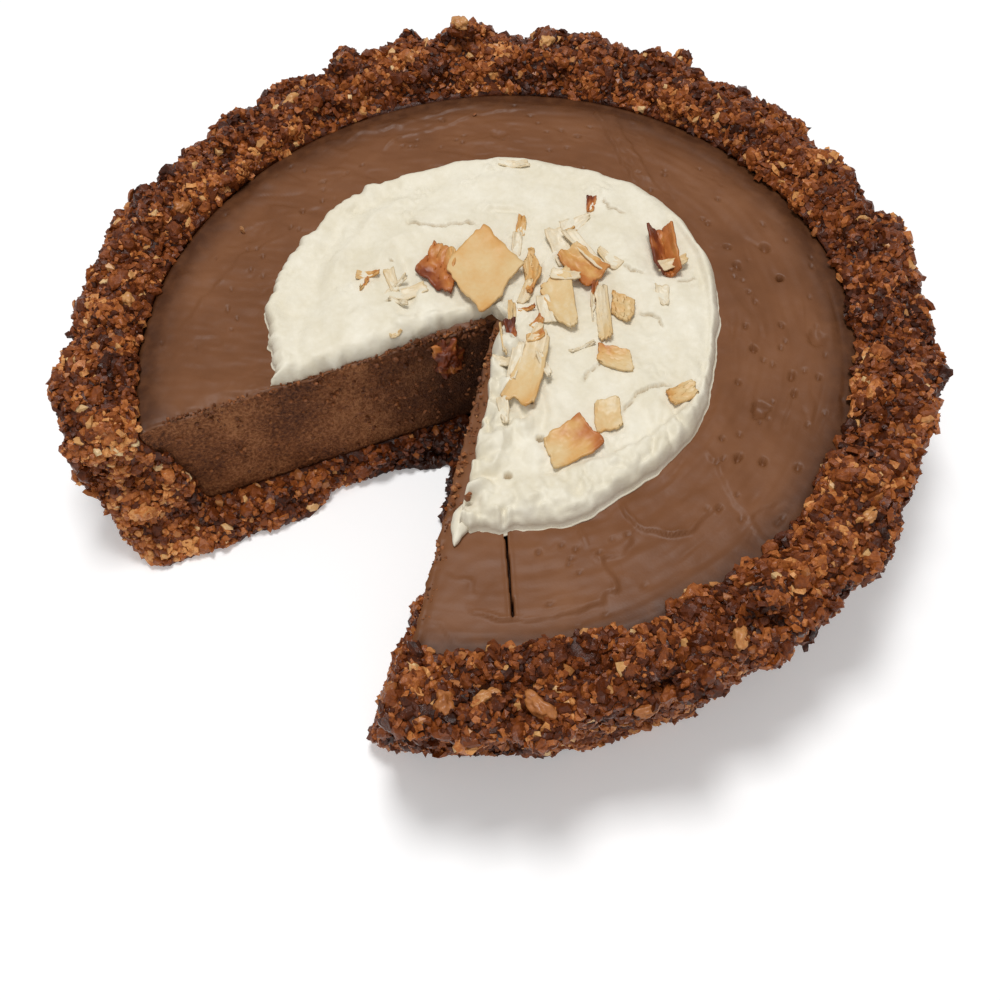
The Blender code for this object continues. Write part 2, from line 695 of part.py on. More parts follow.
def build_flakes(obstacles):
    """Each larger flake is a piece of its own, laid on what is already there."""
    draw = random.Random(23)
    for name, flake in FLAKES.items():
        length, width = flake["size"]
        bm = wavy_sheet(
            draw, length * MM, width * MM, FLAKE_THICKNESS, FLAKE_CELLS, flake["bend"], flake["fold"])
        made = object_from(bm, name, flake["colour"])
        lean = [math.radians(angle) for angle in flake["lean"]]
        drop_onto(made, obstacles, flake["place"], Euler((*lean, math.radians(flake["turn"]))))
        obstacles.append(made)


def main():
    for item in list(bpy.data.objects):
        bpy.data.objects.remove(item)
    filling = build_filling()
    cream = build_cream()
    build_crust()
    build_flakes([filling, cream])
    for item in bpy.data.objects:
        item.data.shade_smooth()
        item.data.set_sharp_from_angle(angle=math.radians(40))


main()
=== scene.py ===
import math

import bmesh
import bpy
import numpy as np
from mathutils import Matrix, Vector, noise
from mathutils.bvhtree import BVHTree


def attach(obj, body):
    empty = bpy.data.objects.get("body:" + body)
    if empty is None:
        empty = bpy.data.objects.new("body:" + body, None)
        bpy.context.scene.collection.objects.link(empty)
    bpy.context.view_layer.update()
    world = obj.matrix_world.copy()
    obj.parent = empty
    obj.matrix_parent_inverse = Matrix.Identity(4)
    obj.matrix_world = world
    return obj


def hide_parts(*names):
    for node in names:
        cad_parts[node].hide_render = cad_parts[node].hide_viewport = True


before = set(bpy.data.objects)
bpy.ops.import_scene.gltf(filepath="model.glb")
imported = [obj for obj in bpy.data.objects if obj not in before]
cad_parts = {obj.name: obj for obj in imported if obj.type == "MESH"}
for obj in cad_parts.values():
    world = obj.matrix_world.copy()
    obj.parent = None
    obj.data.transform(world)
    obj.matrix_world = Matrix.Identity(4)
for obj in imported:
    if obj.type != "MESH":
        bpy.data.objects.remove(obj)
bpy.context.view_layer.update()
mm = 0.001

# What the whole pie shares, in metres. The missing slice's point and half
# angle are those of the CAD cut.
pie = dict(
    cutPoint=Vector((-3.3, 5.4, 0)) * mm,
    cutHalfAngle=math.radians(29.3),
    fillingTop=45 * mm,
    creamCentre=Vector((-1.5, 2, 0)) * mm,
    creamRadius=62.9 * mm,
)


# Small helpers

def smooth(low, high, value):
    part = np.clip((value - low) / (high - low), 0, 1)
    return part * part * (3 - 2 * part)


# smooth noise from -1 to 1 at an array of points
def noiseAt(points, size, seed):
    shift = Vector((seed * 3.17, seed * -1.93, seed * 0.71))
    return np.array([noise.noise(Vector(point) / size + shift) for point in points])


# several of them added up, each given by its height, its size in mm and its seed
def waves(points, *layers):
    return sum(height * noiseAt(points, size * mm, seed) for height, size, seed in layers)


# 1 at a middle and fading to 0 over a width on both sides
def bell(value, middle, width):
    return np.exp(-((value - middle) / width) ** 2)


# 1 up to 0, then fading over a width
def trailing(value, width):
    return np.exp(-np.maximum(value, 0) / width)


def coordinates(mesh):
    flat = np.empty(len(mesh.vertices) * 3)
    mesh.vertices.foreach_get("co", flat)
    return flat.reshape(-1, 3)


def vertexNormals(mesh):
    flat = np.empty(len(mesh.vertices) * 3)
    mesh.vertex_normals.foreach_get("vector", flat)
    return flat.reshape(-1, 3)


def setCoordinates(mesh, points):
    mesh.vertices.foreach_set("co", np.asarray(points, np.float32).ravel())
    mesh.update()


# keeps one number for each vertex, for a material to read
def storeValues(mesh, name, values):
    layer = mesh.attributes.get(name) or mesh.attributes.new(name, "FLOAT", "POINT")
    layer.data.foreach_set("value", np.asarray(values, np.float32))


def meshFrom(bm, name):
    mesh = bpy.data.meshes.new(name)
    bm.to_mesh(mesh)
    bm.free()
    return mesh


def addPiece(name, mesh, material, replaced=(), faceted=False):
    piece = bpy.data.objects.new(name, mesh)
    bpy.context.scene.collection.objects.link(piece)
    mesh.materials.clear()
    mesh.materials.append(material)
    if faceted:
        mesh.shade_flat()
    else:
        mesh.shade_smooth()
    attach(piece, "root")
    for node in replaced:
        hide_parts(node)
    return piece


def applyModifiers(piece):
    depsgraph = bpy.context.evaluated_depsgraph_get()
    done = bpy.data.meshes.new_from_object(piece.evaluated_get(depsgraph))
    old = piece.data
    piece.modifiers.clear()
    piece.data = done
    bpy.data.meshes.remove(old)


# a CAD node's mesh with its doubled corners joined
def mergedCopy(node):
    bm = bmesh.new()
    bm.from_mesh(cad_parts[node].data)
    bmesh.ops.remove_doubles(bm, verts=bm.verts, dist=0.002 * mm)
    return meshFrom(bm, node + "Copy")


def treeOf(mesh):
    corners = [vert.co for vert in mesh.vertices]
    return BVHTree.FromPolygons(corners, [face.vertices for face in mesh.polygons])


def distances(tree, points):
    return np.array([tree.find_nearest(Vector(point))[3] for point in points])


# directions along a cut and out into the gap; side -1 is the cut towards -X
def cutFrame(side):
    half = pie["cutHalfAngle"]
    along = Vector((side * math.sin(half), -math.cos(half), 0))
    out = Vector((-side * math.cos(half), -math.sin(half), 0))
    return along, out


# distance behind the plane of a cut
def cutDepth(points, side):
    out = cutFrame(side)[1]
    return -((points[:, 0] - pie["cutPoint"].x) * out.x + (points[:, 1] - pie["cutPoint"].y) * out.y)


# Node helpers for the materials. The mottle varies a tone over a surface, and
# gives the height of the same grain.

def makeMottle():
    group = bpy.data.node_groups.new("mottle", "ShaderNodeTree")
    sockets = (("Vector", "NodeSocketVector"), ("Scale", "NodeSocketFloat"),
               ("Tone", "NodeSocketFloat"), ("Spread", "NodeSocketFloat"))
    for name, kind in sockets:
        group.interface.new_socket(name, in_out="INPUT", socket_type=kind)
    for name in ("Tone", "Height"):
        group.interface.new_socket(name, in_out="OUTPUT", socket_type="NodeSocketFloat")
    given = group.nodes.new("NodeGroupInput")
    result = group.nodes.new("NodeGroupOutput")
    grain = group.nodes.new("ShaderNodeTexNoise")
    grain.inputs["Detail"].default_value = 4
    grain.inputs["Roughness"].default_value = 0.65
    centred, spread, total = [group.nodes.new("ShaderNodeMath") for step in range(3)]
    centred.operation, spread.operation, total.operation = "SUBTRACT", "MULTIPLY", "ADD"
    centred.inputs[1].default_value = 0.5
    for start, end in (
        (given.outputs["Vector"], grain.inputs["Vector"]),
        (given.outputs["Scale"], grain.inputs["Scale"]),
        (grain.outputs["Fac"], centred.inputs[0]),
        (centred.outputs[0], spread.inputs[0]),
        (given.outputs["Spread"], spread.inputs[1]),
        (given.outputs["Tone"], total.inputs[0]),
        (spread.outputs[0], total.inputs[1]),
        (total.outputs[0], result.inputs["Tone"]),
        (grain.outputs["Fac"], result.inputs["Height"]),
    ):
        group.links.new(start, end)
    return group


mottle = makeMottle()


class Shades:
    # one material's node tree, built in a few words

    def __init__(self, name):
        self.material = bpy.data.materials.new(name)
        self.material.use_nodes = True
        self.tree = self.material.node_tree
        self.shader = self.tree.nodes["Principled BSDF"]
        self.coords = self.tree.nodes.new("ShaderNodeTexCoord").outputs["Object"]

    def link(self, start, end):
        self.tree.links.new(start, end)

    def value(self, name):
        node = self.tree.nodes.new("ShaderNodeAttribute")
        node.attribute_name = name
        return node.outputs["Fac"]

    def noise(self, size, detail=3, roughness=0.55):
        node = self.tree.nodes.new("ShaderNodeTexNoise")
        node.inputs["Scale"].default_value = 1 / size
        node.inputs["Detail"].default_value = detail
        node.inputs["Roughness"].default_value = roughness
        self.link(self.coords, node.inputs["Vector"])
        return node.outputs["Fac"]

    def mottled(self, tone, size, spread):
        node = self.tree.nodes.new("ShaderNodeGroup")
        node.node_tree = mottle
        node.inputs["Scale"].default_value = 1 / size
        node.inputs["Spread"].default_value = spread
        self.link(self.coords, node.inputs["Vector"])
        self.link(tone, node.inputs["Tone"])
        return node.outputs["Tone"], node.outputs["Height"]

    def math(self, operation, first, second=0.5):
        node = self.tree.nodes.new("ShaderNodeMath")
        node.operation = operation
        for place, item in enumerate((first, second)):
            if isinstance(item, (int, float)):
                node.inputs[place].default_value = item
            else:
                self.link(item, node.inputs[place])
        return node.outputs["Value"]

    def remap(self, value, low, high, newLow=0, newHigh=1):
        node = self.tree.nodes.new("ShaderNodeMapRange")
        node.inputs["From Min"].default_value = low
        node.inputs["From Max"].default_value = high
        node.inputs["To Min"].default_value = newLow
        node.inputs["To Max"].default_value = newHigh
        self.link(value, node.inputs["Value"])
        return node.outputs["Result"]

    def ramp(self, value, stops):
        node = self.tree.nodes.new("ShaderNodeValToRGB")
        line = node.color_ramp
        while len(line.elements) < len(stops):
            line.elements.new(0.5)
        for element, (place, colour) in zip(line.elements, stops):
            element.position = place
            element.color = (*colour, 1)
        self.link(value, node.inputs["Fac"])
        return node.outputs["Color"]

    def mix(self, factor, first, second):
        node = self.tree.nodes.new("ShaderNodeMix")
        node.data_type = "RGBA"
        for place, item in ((0, factor), (6, first), (7, second)):
            if isinstance(item, tuple):
                node.inputs[place].default_value = (*item, 1)
            else:
                self.link(item, node.inputs[place])
        return node.outputs[2]

    def bump(self, height, strength, distance, below=None):
        node = self.tree.nodes.new("ShaderNodeBump")
        node.inputs["Strength"].default_value = strength
        node.inputs["Distance"].default_value = distance
        self.link(height, node.inputs["Height"])
        if below:
            self.link(below, node.inputs["Normal"])
        return node.outputs["Normal"]

    def finish(self, colour, roughness, normal, gloss=0.5):
        self.link(colour, self.shader.inputs["Base Color"])
        if isinstance(roughness, (int, float)):
            self.shader.inputs["Roughness"].default_value = roughness
        else:
            self.link(roughness, self.shader.inputs["Roughness"])
        self.link(normal, self.shader.inputs["Normal"])
        self.shader.inputs["Specular IOR Level"].default_value = gloss
        return self.material


# Finishes whose colour follows one value kept on the piece: the grain is its
# size in mm and how far it spreads the tone, the bump its strength and depth in
# mm, and rough is one number or the two that a soft noise runs between.
tonedFinishes = dict(
    cocoaCrumb=dict(value="tone", grain=(1.3, 0.75), bump=(0.8, 0.4), rough=(0.22, 0.52), gloss=0.28, stops=(
        (0.0, (0.030, 0.006, 0.001)),
        (0.3, (0.105, 0.022, 0.004)),
        (0.6, (0.245, 0.062, 0.012)),
        (0.85, (0.470, 0.150, 0.036)),
        (1.0, (0.680, 0.310, 0.100)),
    )),
    choppedNut=dict(value="tone", grain=(1.5, 0.7), bump=(0.5, 0.25), rough=0.36, gloss=0.4, stops=(
        (0.0, (0.200, 0.050, 0.010)),
        (0.35, (0.440, 0.160, 0.042)),
        (0.7, (0.640, 0.340, 0.120)),
        (1.0, (0.760, 0.560, 0.300)),
    )),
    chocolateCrumb=dict(value="tone", grain=(0.8, 0.5), bump=(0.5, 0.2), rough=0.55, gloss=0.3, stops=(
        (0.0, (0.060, 0.016, 0.004)),
        (0.45, (0.170, 0.055, 0.017)),
        (0.75, (0.320, 0.110, 0.034)),
        (1.0, (0.640, 0.380, 0.170)),
    )),
    toastedCoconut=dict(value="toast", grain=(1.2, 0.16), bump=(0.20, 0.15), rough=0.42, gloss=0.4, stops=(
        (0.0, (0.770, 0.690, 0.530)),
        (0.15, (0.690, 0.500, 0.250)),
        (0.32, (0.650, 0.355, 0.110)),
        (0.52, (0.490, 0.160, 0.034)),
        (0.78, (0.230, 0.048, 0.011)),
        (1.0, (0.100, 0.020, 0.007)),
    )),
)


def tonedMaterial(name):
    look = tonedFinishes[name]
    shades = Shades(name)
    size, spread = look["grain"]
    tone, height = shades.mottled(shades.value(look["value"]), size * mm, spread)
    rough = look["rough"]
    if isinstance(rough, tuple):
        rough = shades.remap(shades.noise(2.5 * mm, 2), 0.3, 0.7, *rough)
    strength, depth = look["bump"]
    normal = shades.bump(height, strength, depth * mm)
    return shades.finish(shades.ramp(tone, look["stops"]), rough, normal, look["gloss"])


# The crust

crustLook = dict(
    voxel=1.4 * mm,
    relief=((9 * mm, 2.6 * mm), (4 * mm, 1.3 * mm)),   # size and height of the crags
    reliefMiddle=0.28,   # the noise that leaves the solid's surface where it is
    fadeAtFilling=(0.4 * mm, 3 * mm), fadeAtFloor=(0.2 * mm, 4 * mm),
    coreTone=0.16, coreGrain=(0.10, 5, 9), coreShare=0.5,
    samplesEach=8, fillingClear=0.9 * mm, floorClear=1.2 * mm,
    undersideNormal=-0.75, undersideHeight=3 * mm,   # nothing is scattered under the pie
    lift=1.35,   # how many half lengths a piece's middle stays above the floor
    # the crag tone is painted light: lighter on the crags, painted shade in the hollows
    cragPaintedLight=0.30, cragMiddle=0.05, clumpSize=16 * mm, clumpTone=0.18,
    shadedPoint=54 * mm, pointPaintedShade=-0.42,   # painted shade on the crust round the slice's point
    sectionDepth=5 * mm, sectionReach=92 * mm, sectionTone=0.26,   # bare oats in the left cut
    seed=5,
)

# Each kind of crumb: how many at most, half length in mm from and to, how far
# apart and how far sunk as shares of that, the tones from and to, and its tilt.
crumbKinds = dict(
    crustLumps=dict(form="lump", count=2150, size=(1.2, 2.8), apart=0.75, sunk=0.30,
                    tone=(0.10, 0.72), tilt=0.6),
    crustNuts=dict(form="crumb", count=1100, size=(0.9, 2.1), apart=1.35, sunk=0.05,
                   tone=(0.0, 0.80), tilt=0.6),
    crustOats=dict(form="flake", count=6800, size=(0.9, 2.1), apart=0.42, sunk=-0.1,
                   tone=(0.15, 0.90), tilt=0.7),
    crustBran=dict(form="flake", count=5200, size=(0.7, 1.6), apart=0.42, sunk=0.0,
                   tone=(0.02, 0.60), tilt=0.7),
    crustCrumbs=dict(form="crumb", count=9700, size=(0.6, 1.5), apart=0.55, sunk=-0.1,
                     tone=(0.08, 0.78), tilt=0.7),
    crustGrit=dict(form="crumb", count=9700, size=(0.35, 0.8), apart=0.6, sunk=-0.4,
                   tone=(0.15, 0.90), tilt=0.7),
)

# Larger nut pieces, listed one by one: x, y and half length in mm
nutLook = dict(raised=0.12, tone=(0.1, 0.75), seed=71)
largeNuts = (
    (77.9, -74.2, 2.9), (86.2, -77.3, 2.6), (102.8, -33.4, 2.4), (-104.3, 27.6, 2.8), (-79.8, 78.1, 2.4),
    (60.5, -87.0, 3.0), (49.5, -92.5, 2.6), (67.0, -80.0, 2.4), (95.5, -58.0, 2.2), (108.5, 12.0, 2.2),
    (101.0, 38.0, 2.0), (-58.0, 93.0, 2.1), (-88.0, 64.0, 2.2), (-100.5, -22.0, 2.2), (-86.0, -55.0, 2.4),
)


def makeCrustCore(material):
    look = crustLook
    core = addPiece("crustCore", mergedCopy("crust"), material, ["crust"])
    step = core.modifiers.new("even", "REMESH")
    step.mode = "VOXEL"
    step.voxel_size = look["voxel"]
    applyModifiers(core)
    mesh = core.data
    points, normals = coordinates(mesh), vertexNormals(mesh)
    free = smooth(*look["fadeAtFilling"], distances(fillingTree, points))
    free *= smooth(*look["fadeAtFloor"], points[:, 2])
    for seed, (size, height) in enumerate(look["relief"]):
        raised = (noiseAt(points, size, seed + 3) - look["reliefMiddle"]) * height * free
        points += normals * raised[:, None]
    points[:, 2] = np.maximum(points[:, 2], 0)
    setCoordinates(mesh, points)
    # the core's tone takes in painted highlight on the crags and painted shade in the hollows and round the
    # slice's point
    tones = look["coreTone"] + waves(points, look["coreGrain"]) + look["coreShare"] * toneWithPaintedLight(points)
    storeValues(mesh, "tone", tones)
    mesh.shade_smooth()
    return core


# points spread over a mesh by area, with the faces' normals
def surfaceSamples(mesh, count, rng):
    mesh.calc_loop_triangles()
    corners = np.empty(len(mesh.loop_triangles) * 3, int)
    mesh.loop_triangles.foreach_get("vertices", corners)
    triangles = coordinates(mesh)[corners.reshape(-1, 3)]
    across = np.cross(triangles[:, 1] - triangles[:, 0], triangles[:, 2] - triangles[:, 0])
    area = np.linalg.norm(across, axis=1)
    chosen = rng.choice(len(area), count, p=area / area.sum())
    first, second = rng.random((2, count, 1))
    folded = (first + second) > 1
    first, second = np.where(folded, 1 - first, first), np.where(folded, 1 - second, second)
    corner = triangles[chosen]
    points = corner[:, 0] + first * (corner[:, 1] - corner[:, 0]) + second * (corner[:, 2] - corner[:, 0])
    return points, across[chosen] / area[chosen][:, None]


# keeps points in order while none stands closer to a kept one than asked
def spaced(points, radii, apart, limit):
    cell = 2 * radii.max() * apart
    kept, grid = [], {}
    for index, (point, radius) in enumerate(zip(points, radii)):
        home = tuple(np.floor(point / cell).astype(int))
        near = [other for dx in (-1, 0, 1) for dy in (-1, 0, 1) for dz in (-1, 0, 1)
                for other in grid.get((home[0] + dx, home[1] + dy, home[2] + dz), ())]
        if near:
            gaps = np.linalg.norm(points[near] - point, axis=1)
            if (gaps < (radii[near] + radius) * apart).any():
                continue
        grid.setdefault(home, []).append(index)
        kept.append(index)
        if len(kept) == limit:
            break
    return kept


# Each form of piece: how finely made, its random spread, and how flat it is
pieceForms = dict(
    flake=dict(fine=0, spread=0.12, flat=1),   # thin torn flakes
    crumb=dict(fine=1, spread=0.22, flat=0.75),   # angular crumbs
    lump=dict(fine=2, spread=0.20, flat=0.80),   # rough lumps
    nut=dict(fine=4, spread=0.015, flat=0.7),   # the few large nut pieces
)
pieceLook = dict(
    kinds=9, long=(1.0, 1.35), wide=(0.65, 0.95), bumpy=0.45, nutWrinkles=0.4,
    flakeCorners=7, flakeTop=0.72, flakeDepth=0.62, flakeCurl=0.30,
)


# a few shapes of one form, with a half length of about 1
def crumbShapes(form, rng):
    look, own = pieceLook, pieceForms[form]
    shapes = []
    for kind in range(look["kinds"]):
        bm = bmesh.new()
        if form == "flake":
            bmesh.ops.create_cone(bm, cap_ends=True, segments=look["flakeCorners"], radius1=1,
                                  radius2=look["flakeTop"], depth=look["flakeDepth"])
        else:
            bmesh.ops.create_icosphere(bm, subdivisions=own["fine"], radius=1)
        for vert in bm.verts:
            bumpy = noise.noise(vert.co * 1.4 + Vector((kind * 7.1, 0, 3.3)))
            if form == "nut":
                bumpy += look["nutWrinkles"] * noise.noise(vert.co * 4 + Vector((0, kind, 1)))
            vert.co *= 1 + look["bumpy"] * bumpy + rng.uniform(-own["spread"], own["spread"])
            vert.co.z += look["flakeCurl"] * (vert.co.x ** 2 - 0.4) * (form == "flake")
        size = (rng.uniform(*look["long"]), rng.uniform(*look["wide"]), own["flat"])
        bmesh.ops.scale(bm, vec=size, verts=bm.verts)
        bmesh.ops.triangulate(bm, faces=bm.faces)
        bm.verts.ensure_lookup_table()
        verts = np.array([vert.co for vert in bm.verts])
        faces = np.array([[vert.index for vert in face.verts] for face in bm.faces])
        shapes.append((verts, faces))
        bm.free()
    return shapes


# rotation matrices that lay a piece's Z on each normal, spun and tilted at random
def turnsOnto(normals, tilt, rng):
    leaned = normals + rng.normal(0, tilt, normals.shape)
    up = leaned / np.linalg.norm(leaned, axis=1)[:, None]
    along = np.cross(rng.normal(size=up.shape), up)
    along /= np.linalg.norm(along, axis=1)[:, None]
    return np.stack([along, np.cross(up, along), up], axis=2)


# one mesh of many copies, with each copy's tone kept on its vertices
def joined(name, shapes, places, turns, sizes, tones, rng):
    which = rng.integers(0, len(shapes), len(places))
    allVerts, allFaces, allTones, start = [], [], [], 0
    for kind, (verts, faces) in enumerate(shapes):
        mine = np.nonzero(which == kind)[0]
        moved = np.einsum("nij,vj->nvi", turns[mine], verts) * sizes[mine][:, None, None]
        moved += places[mine][:, None]
        offsets = start + np.arange(len(mine)) * len(verts)
        allVerts.append(moved.reshape(-1, 3))
        allFaces.append((faces[None] + offsets[:, None, None]).reshape(-1, 3))
        allTones.append(np.repeat(tones[mine], len(verts)))
        start += len(mine) * len(verts)
    verts, faces = np.concatenate(allVerts), np.concatenate(allFaces)
    verts[:, 2] = np.maximum(verts[:, 2], 0)   # nothing reaches below the pie's flat underside
    mesh = bpy.data.meshes.new(name)
    mesh.vertices.add(len(verts))
    mesh.loops.add(faces.size)
    mesh.polygons.add(len(faces))
    mesh.vertices.foreach_set("co", verts.astype(np.float32).ravel())
    mesh.loops.foreach_set("vertex_index", faces.astype(np.int32).ravel())
    mesh.polygons.foreach_set("loop_start", np.arange(0, faces.size, 3, dtype=np.int32))
    mesh.update(calc_edges=True)
    storeValues(mesh, "tone", np.concatenate(allTones))
    return mesh


def makeCrumbs(core, crumb, nut):
    look = crustLook
    for number, (name, kind) in enumerate(crumbKinds.items()):
        rng = np.random.default_rng(look["seed"] + number)
        points, normals = surfaceSamples(core.data, kind["count"] * look["samplesEach"], rng)
        bare = (distances(fillingTree, points) > look["fillingClear"]) & (points[:, 2] > look["floorClear"])
        bare &= ~((normals[:, 2] < look["undersideNormal"]) & (points[:, 2] < look["undersideHeight"]))
        points, normals = points[bare], normals[bare]
        low, high = kind["size"]
        radii = (high - (high - low) * np.sqrt(np.linspace(0, 1, len(points)))) * mm
        kept = spaced(points, radii, kind["apart"], kind["count"])
        points, normals, radii = points[kept], normals[kept], radii[kept]
        places = points - normals * (radii * kind["sunk"])[:, None]
        places[:, 2] = np.maximum(places[:, 2], radii * look["lift"])
        # each crumb's tone takes in the same painted highlight and painted shade
        tones = rng.uniform(*kind["tone"], len(places)) + toneWithPaintedLight(places)
        turns = turnsOnto(normals, kind["tilt"], rng)
        mesh = joined(name, crumbShapes(kind["form"], rng), places, turns, radii, tones, rng)
        addPiece(name, mesh, nut if name == "crustNuts" else crumb, faceted=True)
        print(name, len(places), "pieces")


# painted highlight on the crags, painted shade in the hollows and round the
# slice's point, a tone varying at random in clumps, and the bare oats of the left cut
def toneWithPaintedLight(places):
    look = crustLook
    size, height = look["relief"][0]
    tone = look["cragPaintedLight"] * (noiseAt(places, size, 3) - look["cragMiddle"])
    tone += look["clumpTone"] * noiseAt(places, look["clumpSize"], 61)
    reach = np.linalg.norm(places[:, :2] - np.array(pie["cutPoint"].xy), axis=1)
    tone += look["pointPaintedShade"] * (1 - smooth(0.5, 1, reach / look["shadedPoint"]))
    outside = np.linalg.norm(places[:, :2], axis=1) > look["sectionReach"]
    onSection = outside & (cutDepth(places, -1) < look["sectionDepth"]) & (places[:, 0] < 0)
    return tone + look["sectionTone"] * onSection


def makeLargeNuts(core, material):
    rng = np.random.default_rng(nutLook["seed"])
    tree = treeOf(core.data)
    places, turns, radii = [], [], []
    for x, y, size in largeNuts:
        place, normal = tree.ray_cast(Vector((x * mm, y * mm, 0.2)), Vector((0, 0, -1)))[:2]
        if place:
            places.append(place + normal * nutLook["raised"] * size * mm)
            turns.append(normal.to_track_quat("Z", "Y").to_matrix())
            radii.append(size * mm)
    tones = rng.uniform(*nutLook["tone"], len(places))
    shapes = crumbShapes("nut", rng)
    mesh = joined("largeNuts", shapes, np.array(places), np.array(turns), np.array(radii), tones, rng)
    return addPiece("largeNuts", mesh, material)


# The filling and the cream: each is a fan of faces round the slice's point,
# with walls down its edge. In the flat grid that it starts as, X runs round,
# Y outwards and -Z down the walls; the wall behind the crust stays coarse.

def fan(name, look):
    rows, drops = look["rows"], look["drops"]
    bm = bmesh.new()
    bmesh.ops.create_grid(bm, x_segments=look["columns"], y_segments=rows, size=1)
    inner = [vert for vert in bm.verts if vert.co.y < -1 + 0.5 / rows]
    bmesh.ops.pointmerge(bm, verts=inner, merge_co=(0, -1, 0))
    edges = [edge for edge in bm.edges if edge.is_boundary]
    for drop in range(drops):
        grown = set(bmesh.ops.extrude_edge_only(bm, edges=edges)["geom"])
        verts = [item for item in grown if isinstance(item, bmesh.types.BMVert)]
        bmesh.ops.translate(bm, vec=(0, 0, -1), verts=verts)
        edges = [item for item in grown if isinstance(item, bmesh.types.BMEdge)]
        edges = [edge for edge in edges if edge.verts[0] in grown and edge.verts[1] in grown]
    bmesh.ops.holes_fill(bm, edges=edges, sides=0)
    level = []
    for edge in bm.edges:
        start, end = edge.verts[0].co, edge.verts[1].co
        onRim = min(start.y, end.y) > 1 - 0.5 / rows and abs(start.z - end.z) < 0.5
        if onRim and -drops + 0.5 < start.z < -look["fineDrops"] - 0.5:
            level.append(edge)
    bmesh.ops.dissolve_edges(bm, edges=level, use_verts=True)
    bmesh.ops.recalc_face_normals(bm, faces=bm.faces)
    mesh = meshFrom(bm, name)
    places = coordinates(mesh)
    return mesh, (places[:, 0] + 1) / 2, (places[:, 1] + 1) / 2, -places[:, 2] / drops


# the direction from the slice's point, clockwise from the cut towards -X
def fanAngle(around):
    half = pie["cutHalfAngle"]
    return math.radians(270) - half - around * (math.tau - 2 * half)


# how far a round outline lies from the slice's point in each direction
def reachTo(radius, centre, angle):
    point = pie["cutPoint"] - centre
    along = point.x * np.cos(angle) + point.y * np.sin(angle)
    return np.sqrt(along ** 2 + radius ** 2 - point.length_squared) - along


def fromPoint(reach, angle, height):
    point = pie["cutPoint"]
    return np.stack([point.x + reach * np.cos(angle), point.y + reach * np.sin(angle), height], 1)


# distance to a polyline in mm, positive on its left, and a fade to 0 at its ends
def toLine(points, line):
    flat = points[:, :2] / mm
    best = np.full(len(flat), 1e9)
    signed, place = np.zeros(len(flat)), np.zeros(len(flat))
    walked = 0
    for start, end in zip(np.array(line), np.array(line)[1:]):
        length = np.linalg.norm(end - start)
        along = (end - start) / length
        offset = flat - start
        share = np.clip(offset @ along, 0, length)
        gap = np.linalg.norm(offset - share[:, None] * along, axis=1)
        side = np.sign(along[0] * offset[:, 1] - along[1] * offset[:, 0])
        nearer = gap < best
        best = np.where(nearer, gap, best)
        signed = np.where(nearer, gap * side, signed)
        place = np.where(nearer, walked + share, place)
        walked += length
    place /= walked
    return signed, smooth(0, 0.18, place) * smooth(0, 0.18, 1 - place)


